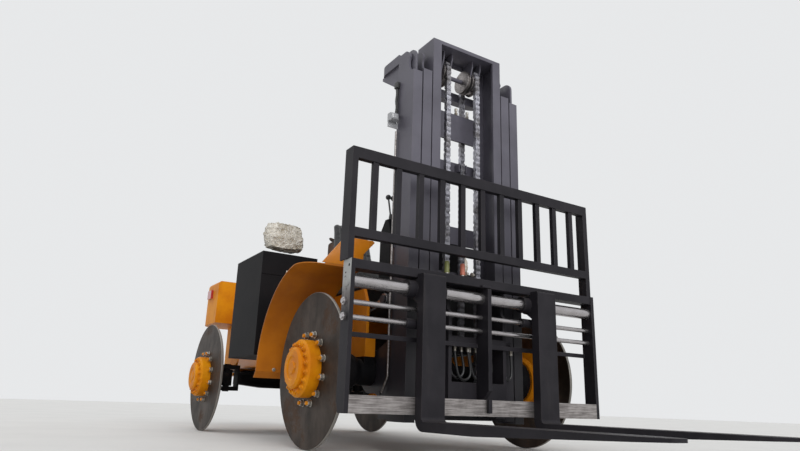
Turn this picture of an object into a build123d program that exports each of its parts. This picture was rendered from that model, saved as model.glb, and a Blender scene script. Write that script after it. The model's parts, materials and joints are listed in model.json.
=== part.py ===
from build123d import *
from math import cos, radians, sin, sqrt, tan
import os

os.makedirs("parts", exist_ok=True)

# Frame: X forward, Y to the driver's left, Z up, floor at z = 0 under the wheel discs. Millimetres.
# Pairs such as rail_y are (low, high). A name ending in _y on a mirrored piece is a distance from the centre.

# Whole machine
axle_z = 450
front_axle_x = 375
wheelbase = 2200
rear_axle_x = front_axle_x - wheelbase
tail_x = -2475
fork_tip_x = 2475
running_gap = 0.06
rest_gap = 0.3
sides = ((1, "left"), (-1, "right"))

# Wheels: bare transport discs bolted on planetary hubs
disc_radius = axle_z
disc_thick = 22
disc_out_y = 850
disc_in_y = disc_out_y - disc_thick
hub_face_y = 965
hub_barrel_r = 165
hub_cover_r = 104
hub_drum_r = 170
hub_flange_r = 235
hub_in_y = 775
spindle_r = 60
spindle_end_y = 895
stud_r = 11
stud_count = 12
stud_hole_r = 13
stud_circle_r = 200
stud_turn = {1: 0, -1: 360 / stud_count / 2}  # the wheels of the two sides stand half a stud pitch apart
stud_end_y = 882

# Mast rails: X range, and the inner and outer edge of each stage's flanges
rail_rear_x = 595
rail_depth = 190
rail_front_x = rail_rear_x + rail_depth
flange_thick = 20
web_thick = 16
outer_y = (375, 444)
middle_y = (297, 366)
inner_y = (223, 289)
outer_foot_z = 170
middle_foot_z = 185
inner_foot_z = 200
outer_top_z = 2540
middle_top_z = 2570
mast_top_z = 2652
fin_height = 174
outer_flange_top_z = outer_top_z - fin_height
middle_flange_top_z = middle_top_z - fin_height
crosshead_height = 212
crosshead_foot_z = mast_top_z - crosshead_height
crosshead_thick = 16
top_plate_thick = 26
roller_r = rail_depth / 2 - flange_thick - 6
roller_x = (rail_rear_x + rail_front_x) / 2

# Mast pivot on the front axle, and the top tie round the lift cylinders
pivot_tube_r = 80
bracket_y = (405, 440)
bracket_r = 125
tie_rear_x = 315
tie_z = (outer_top_z - 50, outer_top_z + 20)
tie_wall = 28

# Tilt cylinders, from a pin on the chassis to a pin on the mast
ear_x = 555
ear_z = 880
ear_y = (404, 424)
tilt_base_x = -230
tilt_base_z = 760
tilt_y = 452
tilt_eye_half = 18
tilt_barrel_r = 42
tilt_rod_r = 22
tilt_pin_r = 18
tilt_eye_play = 4

# Lift cylinders behind the rails
lift_x = 548
lift_y = 365
lift_barrel_r = 36
lift_gland_r = 38
lift_bore_r = 31
lift_rod_r = 26
lift_shelf_z = 230
lift_barrel_top_z = 1900
stage_travel = 1200
lift_rod_top_z = middle_top_z - 170
middle_tie_x = (500, 520)
middle_arm_out_y = 322
inner_tie_x = (580, rail_rear_x)

# Leaf chains over the sheaves of the inner stage
chain_x = 725
chain_y = 124
chain_width = 38
chain_pitch = 38.1
chain_height = 34
chain_foot_z = 290
chain_anchor_z = 1900
sheave_x = 640
sheave_z = mast_top_z - 162
sheave_pin_r = 15
sheave_half = 26
hose_sheave_r = 80
hose_sheave_y = 66
hose_sheave_half = 12
cheek_thick = 10

# Carriage
carriage_front_x = 975
carriage_rear_x = 885
carriage_half = 920
end_plate_thick = 25
carriage_foot_z = 215
carriage_top_z = 1000
beam_height = 50
wear_bar_top_z = 305
wear_bar_thick = 30
shaft_x = 930
shaft_z = 888
shaft_r = 35
rod_r = 14
rod_left_z = 775
rod_right_z = 695
centre_plate_half = 13
roller_plate_y = (195, 217)
roller_plate_x = 650

# Forks
fork_width = 150
fork_y = 425
fork_thick = 60
fork_top_z = 968
blade_top_z = 184
blade_thick = 51
tip_thick = 14
heel_r = 70
eye_r = 55
collar_r = 50
collar_length = 50
positioner_r = 28
positioner_half = 122

# Load guard
guard_half = carriage_half + 10
guard_top_z = 1645
guard_top_bar = 65
guard_mid_z = (1130, 1180)
guard_post = 36
guard_x = (905, 945)
guard_return_x = 855
guard_bar_pitch = 155
guard_bars_each_side = 5
guard_bar_width = 34

# Chassis
rail_y = (455, 525)
chassis_rail_z = (540, 650)
chassis_nose_x = 450
chassis_tail_x = -1960
side_y = (505, 525)
cab_rear_x = -880
floor_z = 960
floor_thick = 15
tilt_slot_y = 322
nose_x = (430, 445)
rear_pin_z = 590
rear_pin_r = 38

# Cowl, controls and seat
cowl_x = (215, 350)
cowl_half = 315
cowl_top_z = 1480
sheet = 6
wheel_centre = Vector(cowl_x[0] - 180, 0, 1445)
wheel_tilt = 35
wheel_r = 190
column_r = 32
column_length = 258
seat_z = (1180, 1290)
seat_x = (-790, -310)
seat_half = 240
seat_top_z = 1770

# Front fenders and side boxes
fender_r = 640
fender_out_y = 950
fender_corner_r = 130
fender_foot_z = 410
fender_rear_x = front_axle_x - fender_r
fender_top_z = axle_z + fender_r
box_x = (-900, fender_rear_x - 75)
box_out_y = 945
box_z = (560, 1285)
box_lid_z = 1120
wrap_x = (-500, box_x[1] + 5)
wrap_y = (600, box_out_y)
wrap_height = 260
step_z = (640, 900)

# Engine bay, hood and counterweight
engine_x = (-1720, -1000)
engine_half = 260
engine_z = (655, 1120)
bay_x = (chassis_tail_x, -905)
bay_top_z = 1150
hood_top_z = 1360
hood_hinge_x = -1950
hood_shoulder = 70
hinge_r = 12
hinge_pin_r = 6
hinge_half = 150
weight_x = (tail_x, chassis_tail_x)
weight_half = 780
weight_core_half = 530
weight_core_rear_x = -2365
weight_core_foot_z = 480
weight_top_z = 1330
arch_top_z = 940
tow_x = -2430
tow_pin_r = 17

# Bolt holes for the feet of an overhead guard
guard_hole_r = 7
guard_hole_pitch = 80
guard_front = (320, 430)
guard_rear = (-2040, 600)

# Rear axle and steering
kingpin_y = 660
kingpin_r = 28
beam_half_x = 60
beam_z = (390, 510)
yoke_half_z = 75
yoke_thick = 35
arm_length = 180
steer_z = 520
steer_barrel_r = 34
steer_barrel_half = 230
steer_rod_r = 19
steer_x = rear_axle_x - arm_length


def save(piece, name):
    piece.label = name
    export_step(piece, f"parts/{name}.step")


def plate(plane, points, thickness, radius=0):
    """Plate of the given outline on a plane, every corner rounded to radius."""
    with BuildPart() as flat:
        with BuildSketch(plane) as outline:
            with BuildLine():
                Polyline(*points, close=True)
            make_face()
            if radius:
                fillet(outline.vertices(), radius)
        extrude(amount=thickness)
    return flat.part


def side_plate(points, y, radius=0):
    """Outline in X and Z, between the two Y values."""
    return plate(Plane.XZ.offset(-y[1]), points, y[1] - y[0], radius)


def front_plate(points, x, radius=0):
    """Outline in Y and Z, between the two X values."""
    return plate(Plane.YZ.offset(x[0]), points, x[1] - x[0], radius)


def plan_plate(points, z, radius=0):
    """Outline in X and Y, between the two Z values."""
    return plate(Plane.XY.offset(z[0]), points, z[1] - z[0], radius)


def block(x, y, z, radius=0):
    """Box between three (low, high) pairs, its upright edges rounded to radius."""
    return plan_plate([(x[0], y[0]), (x[1], y[0]), (x[1], y[1]), (x[0], y[1])], z, radius)


def bar(radius, start, end):
    """Round bar from start to end."""
    along = Vector(*end) - Vector(*start)
    with BuildPart() as round_bar:
        with BuildSketch(Plane(origin=start, z_dir=along)):
            Circle(radius)
        extrude(amount=along.length)
    return round_bar.part


def cross_bar(radius, x, z, y):
    """Round bar along Y at the given X and Z, between the two Y values."""
    return bar(radius, (x, y[0], z), (x, y[1], z))


def both_sides(piece):
    with BuildPart() as pair:
        add(piece)
        mirror(piece, about=Plane.XZ)
    return pair.part


def on_side(piece, side):
    return piece if side > 0 else mirror(piece, about=Plane.XZ)


def turned(profile, centre_x):
    """Revolve a profile of (radius, Y) corners about the wheel axis at centre_x."""
    with BuildPart() as round_part:
        with BuildSketch(Plane(origin=(centre_x, 0, axle_z), x_dir=(0, 0, 1), z_dir=(-1, 0, 0))):
            with BuildLine():
                Polyline(*profile, close=True)
            make_face()
        revolve(axis=Axis((centre_x, 0, axle_z), (0, 1, 0)))
    return round_part.part


# Wheels, modelled on the left and mirrored
hub_profile = [
    (spindle_r + running_gap, hub_in_y),
    (hub_drum_r - 20, hub_in_y),
    (hub_drum_r, hub_in_y + 18),
    (hub_drum_r, disc_in_y - 30),
    (hub_flange_r, disc_in_y - 22),
    (hub_flange_r, disc_in_y),
    (hub_barrel_r, disc_in_y),
    (hub_barrel_r, hub_face_y - 48),
    (hub_barrel_r - 12, hub_face_y - 36),
    (hub_cover_r + 14, hub_face_y - 36),
    (hub_cover_r + 14, hub_face_y - 14),
    (hub_cover_r, hub_face_y - 2),
    (hub_cover_r - 34, hub_face_y - 2),
    (hub_cover_r - 40, hub_face_y - 8),
    (40, hub_face_y - 8),
    (34, hub_face_y),
    (0, hub_face_y),
    (0, spindle_end_y + 10),
    (spindle_r + running_gap, spindle_end_y + 10),
]
disc_profile = [
    (hub_barrel_r + rest_gap, disc_in_y),
    (disc_radius - 5, disc_in_y),
    (disc_radius, disc_in_y + 5),
    (disc_radius, disc_out_y - 5),
    (disc_radius - 5, disc_out_y),
    (hub_barrel_r + rest_gap, disc_out_y),
]
for axle_x, axle_name in ((front_axle_x, "front"), (rear_axle_x, "rear")):
    face = Plane(origin=(axle_x, disc_out_y, axle_z), x_dir=(1, 0, 0), z_dir=(0, 1, 0))
    for side, side_name in sides:
        with BuildPart() as disc:
            add(turned(disc_profile, axle_x))
            with BuildSketch(face):
                with PolarLocations(stud_circle_r, stud_count, stud_turn[side]):
                    Circle(stud_hole_r)
            extrude(amount=-disc_thick, mode=Mode.SUBTRACT)
        with BuildPart() as hub:
            add(turned(hub_profile, axle_x))
            with BuildSketch(face.offset(rest_gap - disc_thick)):
                with PolarLocations(stud_circle_r, stud_count, stud_turn[side]):
                    Circle(stud_r)
            extrude(amount=stud_end_y - disc_in_y - rest_gap)
        save(on_side(disc.part, side), f"{axle_name}_disc_{side_name}")
        save(on_side(hub.part, side), f"{axle_name}_hub_{side_name}")

# Front axle: drive bowl, tapered arms, pivot journals for the mast, saddles under the chassis rails
front_axle_profile = [
    (0, 0), (145, 0), (145, 60), (110, 150), (pivot_tube_r, 190), (pivot_tube_r, 545), (105, 590),
    (112, 700), (140, 740), (140, hub_in_y - 9), (spindle_r, hub_in_y - 9), (spindle_r, spindle_end_y),
    (0, spindle_end_y),
]
with BuildPart() as front_axle:
    add(both_sides(turned(front_axle_profile, front_axle_x)))
    add(both_sides(block((front_axle_x - 75, front_axle_x + 70), rail_y, (axle_z, chassis_rail_z[0]))))
    add(block((front_axle_x - 260, front_axle_x - 100), (-85, 85), (axle_z - 85, axle_z + 85), 30))
    add(bar(45, (front_axle_x - 330, 0, axle_z), (front_axle_x - 260, 0, axle_z)))
save(front_axle.part, "front_axle")

# Rear axle: waisted cast beam with yokes, hung on a fore-and-aft pin under the chassis
yoke_out_y = kingpin_y + 45
yoke_web_y = (kingpin_y - 100, kingpin_y - 82)
beam_outline = [(-yoke_web_y[1], 400), (-330, 375), (330, 375), (yoke_web_y[1], 400), (yoke_web_y[1], 500),
                (330, beam_z[1]), (150, beam_z[1]), (80, 640), (-80, 640), (-150, beam_z[1]),
                (-330, beam_z[1]),
                (-yoke_web_y[1], 500)]
pocket_outline = [(150, 400), (330, 400), (540, 418), (540, 482), (330, 488), (150, 488)]
with BuildPart() as rear_axle:
    add(front_plate(beam_outline, (rear_axle_x - beam_half_x, rear_axle_x + beam_half_x)))
    for x in (rear_axle_x - beam_half_x, rear_axle_x + 20):
        add(both_sides(front_plate(pocket_outline, (x, x + 40), 14)), mode=Mode.SUBTRACT)
    for side, side_name in sides:
        near, far = sorted((side * yoke_web_y[0], side * yoke_out_y))
        for low in (axle_z + yoke_half_z, axle_z - yoke_half_z - yoke_thick):
            add(block((rear_axle_x - 50, rear_axle_x + 50), (near, far), (low, low + yoke_thick)))
        add(block((rear_axle_x - 50, rear_axle_x + 50), sorted((side * yoke_web_y[0], side * yoke_web_y[1])),
                  (axle_z - yoke_half_z - yoke_thick, axle_z + yoke_half_z + yoke_thick)))
        add(bar(kingpin_r, (rear_axle_x, side * kingpin_y, axle_z - 118),
                (rear_axle_x, side * kingpin_y, axle_z + 118)))
    add(bar(rear_pin_r, (rear_axle_x - 130, 0, rear_pin_z), (rear_axle_x + 130, 0, rear_pin_z)))
    add(block((steer_x + 40, rear_axle_x - beam_half_x), (-90, 90), (beam_z[1] - 30, beam_z[1])))
save(rear_axle.part, "rear_axle")

# Steering knuckle: boss on the kingpin, wheel spindle, tapered arm to the rear
with BuildPart() as knuckle:
    add(bar(48, (rear_axle_x, kingpin_y, axle_z - yoke_half_z + 6),
            (rear_axle_x, kingpin_y, axle_z + yoke_half_z - 6)))
    add(cross_bar(spindle_r, rear_axle_x, axle_z, (kingpin_y, spindle_end_y)))
    add(cross_bar(110, rear_axle_x, axle_z, (738, hub_in_y - 9)))
    add(plan_plate([(rear_axle_x, kingpin_y - 39), (rear_axle_x, kingpin_y + 39),
                    (steer_x - 28, kingpin_y + 28),
                    (steer_x - 28, kingpin_y - 28)], (axle_z + 15, steer_z - 20 - rest_gap), 8))
    add(bar(kingpin_r + running_gap, (rear_axle_x, kingpin_y, axle_z - yoke_half_z),
            (rear_axle_x, kingpin_y, axle_z + yoke_half_z)), mode=Mode.SUBTRACT)
for side, side_name in sides:
    save(on_side(knuckle.part, side), f"knuckle_{side_name}")

# Steering cylinder across the back of the rear axle, with its through rod and ball ends
with BuildPart() as steer_cylinder:
    add(cross_bar(steer_barrel_r, steer_x, steer_z, (-steer_barrel_half, steer_barrel_half)))
    for y in (-steer_barrel_half, steer_barrel_half - 40):
        add(cross_bar(steer_barrel_r + 8, steer_x, steer_z, (y, y + 40)))
    add(block((steer_x, steer_x + 60), (-90, 90), (steer_z - 10, steer_z + 15)))
    add(cross_bar(steer_rod_r + running_gap, steer_x, steer_z,
                  (-steer_barrel_half - 1, steer_barrel_half + 1)),
        mode=Mode.SUBTRACT)
save(steer_cylinder.part, "steer_cylinder")
with BuildPart() as steer_rod:
    add(cross_bar(steer_rod_r, steer_x, steer_z, (-kingpin_y, kingpin_y)))
    for side, side_name in sides:
        add(bar(30, (steer_x, side * kingpin_y, steer_z - 20), (steer_x, side * kingpin_y, steer_z + 20)))
save(steer_rod.part, "steer_rod")


# Mast rails
def channel(y, z):
    """Channel open towards the middle, with its web on the outside."""
    rear, front = rail_rear_x, rail_front_x
    return plan_plate([(rear, y[0]), (rear + flange_thick, y[0]), (rear + flange_thick, y[1] - web_thick),
                       (front - flange_thick, y[1] - web_thick), (front - flange_thick, y[0]), (front, y[0]),
                       (front, y[1]), (rear, y[1])], z)


def web_of(y):
    """Y range of the web midway between two flange edges."""
    return ((y[0] + y[1] - web_thick) / 2, (y[0] + y[1] + web_thick) / 2)


def i_beam(y, z):
    rear, front = rail_rear_x, rail_front_x
    web = web_of(y)
    return plan_plate([(rear, y[0]), (rear + flange_thick, y[0]), (rear + flange_thick, web[0]),
                       (front - flange_thick, web[0]), (front - flange_thick, y[0]), (front, y[0]),
                       (front, y[1]), (front - flange_thick, y[1]), (front - flange_thick, web[1]),
                       (rear + flange_thick, web[1]), (rear + flange_thick, y[1]), (rear, y[1])], z)


def fin_cut(y, flange_top_z, top_z):
    """What is cut away above a front flange, so that the web ends in a hollowed fin."""
    front = rail_front_x + 1
    hollow = rail_front_x - flange_thick
    with BuildPart() as cut:
        with BuildSketch(Plane.XZ.offset(-y[1] - 1)):
            with BuildLine():
                Line((front, flange_top_z), (hollow, flange_top_z))
                ThreePointArc((hollow, flange_top_z), (hollow - 42, flange_top_z + 62),
                              (hollow - 28, top_z - 60))
                ThreePointArc((hollow - 28, top_z - 60), (hollow - 50, top_z - 18), (rail_rear_x + 50, top_z))
                Polyline((rail_rear_x + 50, top_z), (rail_rear_x + 50, top_z + 5), (front, top_z + 5),
                         (front, flange_top_z))
            make_face()
        extrude(amount=y[1] - y[0] + 2)
    return cut.part


def roller(y, z, stub_y):
    """Mast roller over a Y range, with its stub axle from the carrying web."""
    with BuildPart() as mast_roller:
        add(cross_bar(roller_r, roller_x, z, y))
        add(cross_bar(26, roller_x, z, sorted((stub_y, y[0]))))
    return mast_roller.part


# Outer stage: rails, foot crossmember with cylinder shelves, pivot brackets, tilt ears, top tie
middle_web = web_of(middle_y)
bracket_outline = [(rail_rear_x, 250), (rail_rear_x, 640), (front_axle_x + 40, axle_z + 118),
                   (front_axle_x, axle_z + bracket_r), (front_axle_x, axle_z - bracket_r),
                   (front_axle_x + 60, axle_z - 120)]
ear_outline = [(rail_rear_x, ear_z - 80), (rail_rear_x, ear_z + 80), (ear_x - 20, ear_z + 34),
               (ear_x - 38, ear_z), (ear_x - 20, ear_z - 34)]
with BuildPart() as outer_side:
    add(channel(outer_y, (outer_foot_z, outer_top_z)))
    add(fin_cut(outer_y, outer_flange_top_z, outer_top_z), mode=Mode.SUBTRACT)
    add(side_plate(bracket_outline, bracket_y))
    add(cross_bar(bracket_r, front_axle_x, axle_z, bracket_y))
    add(cross_bar(pivot_tube_r + running_gap, front_axle_x, axle_z, (bracket_y[0] - 1, bracket_y[1] + 1)),
        mode=Mode.SUBTRACT)
    add(side_plate(ear_outline, ear_y))
    add(cross_bar(tilt_pin_r, ear_x, ear_z, (ear_y[0], tilt_y + 30)))
    add(cross_bar(tilt_pin_r + 8, ear_x, ear_z, (tilt_y + 24, tilt_y + 30)))
    add(block((494, rail_rear_x), (325, outer_y[1]), (lift_shelf_z - 15, lift_shelf_z)))
    add(block((494, rail_rear_x), (outer_y[1] - 20, outer_y[1]), (outer_foot_z + 10, 250)))
    add(roller((middle_web[1] + rest_gap, middle_y[1] + 8), outer_top_z - 250, outer_y[1] - web_thick))
    add(side_plate([(rail_rear_x, tie_z[0]), (tie_rear_x + 40, tie_z[0]), (tie_rear_x + 40, tie_z[0] - 20),
                    (rail_rear_x, tie_z[0] - 190)], (outer_y[1] - tie_wall, outer_y[1] - tie_wall + 12)))
    for z in (700, 1200, 1700):
        add(block((rail_rear_x + 4, rail_rear_x + 28), (outer_y[1], outer_y[1] + 6), (z, z + 40)))
with BuildPart() as outer_mast:
    add(both_sides(outer_side.part))
    add(block((494, 506), (-outer_y[1], outer_y[1]), (outer_foot_z + 10, 340)))
    with BuildSketch(Plane.XY.offset(tie_z[0])) as tie_plan:
        with BuildLine():
            Polyline((rail_rear_x, -outer_y[1]), (rail_rear_x, outer_y[1]), (tie_rear_x, outer_y[1]),
                     (tie_rear_x, -outer_y[1]), close=True)
        make_face()
        fillet(tie_plan.vertices().sort_by(Axis.X)[:2], 110)
    extrude(amount=tie_z[1] - tie_z[0])
    inside_y = outer_y[1] - tie_wall
    with BuildSketch(Plane.XY.offset(tie_z[0])) as tie_hole:
        with BuildLine():
            Polyline((rail_rear_x, -inside_y), (rail_rear_x, inside_y), (tie_rear_x + 60, inside_y),
                     (tie_rear_x + 60, -inside_y), close=True)
        make_face()
        fillet(tie_hole.vertices().sort_by(Axis.X)[:2], 50)
    extrude(amount=tie_z[1] - tie_z[0], mode=Mode.SUBTRACT)
save(outer_mast.part, "outer_mast")

# Middle stage: rails, crossmembers set back on arms, ears over the lift rods, chain anchors
middle_ties = ((1000, 1130), (chain_anchor_z - 90, chain_anchor_z + 20),
               (lift_rod_top_z, lift_rod_top_z + 60))
with BuildPart() as middle_side:
    add(i_beam(middle_y, (middle_foot_z, middle_top_z)))
    add(fin_cut(middle_y, middle_flange_top_z, middle_top_z), mode=Mode.SUBTRACT)
    for low, high in middle_ties:
        add(block((middle_tie_x[0], rail_rear_x), (middle_y[0], middle_arm_out_y), (low, high)))
    add(block((middle_tie_x[0], rail_rear_x), (middle_y[0], lift_y + lift_barrel_r),
              (lift_rod_top_z, lift_rod_top_z + 24)))
    add(roller((outer_y[0] + rest_gap, outer_y[1] - web_thick - rest_gap), 275, middle_web[1] - 2))
with BuildPart() as middle_mast:
    add(both_sides(middle_side.part))
    for low, high in middle_ties:
        add(block(middle_tie_x, (-middle_arm_out_y, middle_arm_out_y), (low, high)))
    for low in (chain_y - chain_width / 2 - 16, chain_y + chain_width / 2 + 6):
        add(both_sides(block((middle_tie_x[1], 572), (low, low + 10), (chain_anchor_z - 60, chain_anchor_z))))
save(middle_mast.part, "middle_mast")

# Inner stage: rails, top plate and windowed rear plate between their tops, sheave cheeks and pin,
# crossmembers behind
crosshead_y = inner_y[1] - web_thick
cheek_gap_y = chain_y + sheave_half + 4
window_y = cheek_gap_y + cheek_thick
window_top_z = sheave_z + chain_x - sheave_x + chain_height / 2 + 12
head_outline = [(-crosshead_y, crosshead_foot_z), (-window_y - 40, crosshead_foot_z),
                (-window_y, crosshead_foot_z + 60),
                (-window_y, window_top_z), (window_y, window_top_z), (window_y, crosshead_foot_z + 60),
                (window_y + 40, crosshead_foot_z), (crosshead_y, crosshead_foot_z),
                (crosshead_y, mast_top_z), (-crosshead_y, mast_top_z)]
top_plate_z = mast_top_z - top_plate_thick
cheek_outline = [(sheave_x - 40, sheave_z - 40), (sheave_x + 40, sheave_z - 40),
                 (rail_front_x - 60, sheave_z + 90),
                 (rail_front_x - 60, top_plate_z), (rail_rear_x, top_plate_z), (rail_rear_x, sheave_z + 60)]
inner_ties = ((inner_foot_z + 5, 400), (mast_top_z - 1352, mast_top_z - 1232),
              (mast_top_z - 602, mast_top_z - 402))
with BuildPart() as inner_side:
    add(channel(inner_y, (inner_foot_z, mast_top_z)))
    add(roller((inner_y[1] + 8 + rest_gap, middle_web[0] - rest_gap), 290, inner_y[1] - web_thick))
    for low in (chain_y - sheave_half - 4 - cheek_thick, cheek_gap_y):
        add(side_plate(cheek_outline, (low, low + cheek_thick)))
with BuildPart() as inner_mast:
    add(both_sides(inner_side.part))
    add(front_plate(head_outline, (rail_rear_x, rail_rear_x + crosshead_thick)))
    add(block((rail_rear_x, rail_front_x), (-crosshead_y, crosshead_y), (top_plate_z, mast_top_z)))
    for low, high in inner_ties:
        add(block(inner_tie_x, (-inner_y[1], inner_y[1]), (low, high)))
    add(cross_bar(sheave_pin_r, sheave_x, sheave_z, (-chain_y - 50, chain_y + 50)))
save(inner_mast.part, "inner_mast")

# Sheaves on the common pin: one for each chain, one for the hoses between them
chain_arc_r = chain_x - sheave_x
groove_r = chain_arc_r - chain_height / 2 - rest_gap


def grooved_sheave(centre_y, half, floor_r, rim_r, rim):
    """Sheave with a groove of radius floor_r between rims of radius rim_r."""
    with BuildPart() as wheel:
        for low, high, radius in ((-half, -half + rim, rim_r), (-half + rim, half - rim, floor_r),
                                  (half - rim, half, rim_r)):
            add(cross_bar(radius, sheave_x, sheave_z, (centre_y + low, centre_y + high)))
        add(cross_bar(sheave_pin_r + running_gap, sheave_x, sheave_z,
                      (centre_y - half - 1, centre_y + half + 1)),
            mode=Mode.SUBTRACT)
    return wheel.part


with BuildPart() as chain_sheaves:
    add(both_sides(grooved_sheave(chain_y, sheave_half, groove_r, groove_r + 14, 6)))
    add(grooved_sheave(hose_sheave_y, hose_sheave_half, hose_sheave_r - 10, hose_sheave_r, 3))
save(chain_sheaves.part, "chain_sheaves")


# Leaf chains: stacks of waisted link plates down to the carriage, round the sheave, down to the anchor
def chain_run(x, z_top, z_low):
    """Straight run of links, each one pitch long and drawn in at its waist."""
    links = int((z_top - z_low) / chain_pitch)
    half = chain_height / 2
    right = []
    for link in range(links):
        z = z_top - link * chain_pitch
        right += [(x + half, z - 0.2 * chain_pitch), (x + 0.72 * half, z - 0.5 * chain_pitch),
                  (x + half, z - 0.8 * chain_pitch)]
    left = [(2 * x - corner_x, z) for corner_x, z in reversed(right)]
    z_end = z_top - links * chain_pitch
    outline = ([(x + half, z_top)] + right + [(x + half, z_end), (x - half, z_end)] + left
               + [(x - half, z_top)])
    return side_plate(outline, (chain_y - chain_width / 2, chain_y + chain_width / 2))


with BuildPart() as chain:
    add(chain_run(chain_x, sheave_z, chain_foot_z))
    add(chain_run(sheave_x - chain_arc_r, sheave_z, chain_anchor_z - stage_travel - 60))
    with BuildSketch(Plane.XZ.offset(-chain_y - chain_width / 2)):
        with Locations((sheave_x, sheave_z)):
            Circle(chain_arc_r + chain_height / 2)
            Circle(chain_arc_r - chain_height / 2, mode=Mode.SUBTRACT)
        with Locations((sheave_x, sheave_z - 200)):
            Rectangle(400, 400, mode=Mode.SUBTRACT)
    extrude(amount=chain_width)
save(both_sides(chain.part), "lift_chains")

# Lift cylinders standing on the outer stage, rods under the middle stage's ears
with BuildPart() as lift_barrel:
    with Locations((lift_x, lift_y, lift_shelf_z)):
        Cylinder(lift_barrel_r, lift_barrel_top_z - lift_shelf_z,
                 align=(Align.CENTER, Align.CENTER, Align.MIN))
    with Locations((lift_x, lift_y, lift_barrel_top_z - 70)):
        Cylinder(lift_gland_r, 70, align=(Align.CENTER, Align.CENTER, Align.MIN))
    with Locations((lift_x, lift_y, lift_shelf_z + 30)):
        Cylinder(lift_bore_r, lift_barrel_top_z - lift_shelf_z - 90,
                 align=(Align.CENTER, Align.CENTER, Align.MIN),
                 mode=Mode.SUBTRACT)
    with Locations((lift_x, lift_y, lift_barrel_top_z - 80)):
        Cylinder(lift_rod_r + running_gap, 81, align=(Align.CENTER, Align.CENTER, Align.MIN),
                 mode=Mode.SUBTRACT)
save(both_sides(lift_barrel.part), "lift_barrels")
save(both_sides(bar(lift_rod_r, (lift_x, lift_y, lift_shelf_z + 120), (lift_x, lift_y, lift_rod_top_z))),
     "lift_rods")

# Pipes up the outer rails, bent in at the lamp, and the mast lamps on their brackets
pipe_r = 7
pipe_x = rail_rear_x + 16
pipe_y = outer_y[1] + 6 + pipe_r
with BuildPart() as pipe:
    with BuildLine() as pipe_path:
        FilletPolyline((pipe_x - 60, pipe_y, 330), (pipe_x, pipe_y, 420), (pipe_x, pipe_y, 1980), radius=40)
    with BuildSketch(Plane(origin=pipe_path.line @ 0, z_dir=pipe_path.line % 0)):
        Circle(pipe_r)
    sweep()
save(both_sides(pipe.part), "mast_pipes")
lamp_y = (460, 520)
lamp_depth = 46
with BuildPart() as lamp:
    add(block((rail_rear_x + 10, rail_rear_x + 16), (outer_y[1], lamp_y[1]), (2000, 2040)))
    add(block((rail_rear_x, rail_rear_x + lamp_depth), lamp_y, (2040, 2092), 8))
    with BuildSketch(Plane.YZ.offset(rail_rear_x + lamp_depth)):
        with Locations(((lamp_y[0] + lamp_y[1]) / 2, 2066)):
            RectangleRounded(lamp_y[1] - lamp_y[0] - 12, 40, 8)
    extrude(amount=-4, mode=Mode.SUBTRACT)
save(both_sides(lamp.part), "mast_lamps")

# Tilt cylinders
tilt_run = Vector(ear_x - tilt_base_x, 0, ear_z - tilt_base_z)


def tilt_point(distance):
    along = Vector(tilt_base_x, tilt_y, tilt_base_z) + tilt_run.normalized() * distance
    return (along.X, along.Y, along.Z)


tilt_eye_y = (tilt_y - tilt_eye_half, tilt_y + tilt_eye_half)
with BuildPart() as tilt_barrel:
    add(bar(tilt_barrel_r, tilt_point(45), tilt_point(470)))
    add(bar(30, tilt_point(0), tilt_point(50)))
    add(cross_bar(36, tilt_base_x, tilt_base_z, tilt_eye_y))
    add(cross_bar(tilt_pin_r + running_gap, tilt_base_x, tilt_base_z, (tilt_y - 40, tilt_y + 40)),
        mode=Mode.SUBTRACT)
    add(bar(33, tilt_point(90), tilt_point(430)), mode=Mode.SUBTRACT)
    add(bar(tilt_rod_r + running_gap, tilt_point(420), tilt_point(480)), mode=Mode.SUBTRACT)
with BuildPart() as tilt_rod:
    add(bar(tilt_rod_r, tilt_point(230), tilt_point(tilt_run.length - 30)))
    add(cross_bar(38, ear_x, ear_z, tilt_eye_y))
    add(cross_bar(tilt_pin_r + tilt_eye_play, ear_x, ear_z, (tilt_y - 30, tilt_y + 30)), mode=Mode.SUBTRACT)
for side, side_name in sides:
    save(on_side(tilt_barrel.part, side), f"tilt_barrel_{side_name}")
    save(on_side(tilt_rod.part, side), f"tilt_rod_{side_name}")

# Carriage back: roller plates in the inner rails, cross plates, slotted chain anchors
eye_clear_x = shaft_x - eye_r - 10
eye_clear_z = (shaft_z - eye_r - 15, shaft_z + eye_r + 12)
plate_top_z = 990
plate_outline = [(carriage_rear_x, 260), (carriage_rear_x, eye_clear_z[0] - 20),
                 (eye_clear_x, eye_clear_z[0]),
                 (eye_clear_x, eye_clear_z[1]), (carriage_rear_x, eye_clear_z[1]),
                 (carriage_rear_x, plate_top_z),
                 (730, plate_top_z), (roller_plate_x, 920), (roller_plate_x, 290), (680, 260)]
anchor_z = (340, 380)
with BuildPart() as carriage_side:
    add(side_plate(plate_outline, roller_plate_y))
    for z in (345, 840):
        add(roller((inner_y[0] + rest_gap, inner_y[1] - web_thick - rest_gap), z, roller_plate_y[1] - 2))
    add(block((chain_x - 45, 865), (95, roller_plate_y[0]), anchor_z))
    add(block((chain_x - 24, chain_x + 24), (chain_y - 30, chain_y + 30), (anchor_z[0] - 1, anchor_z[1] + 1)),
        mode=Mode.SUBTRACT)
hose_r = 8
hose_fitting_r = 12
hose_fitting_length = 40
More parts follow.
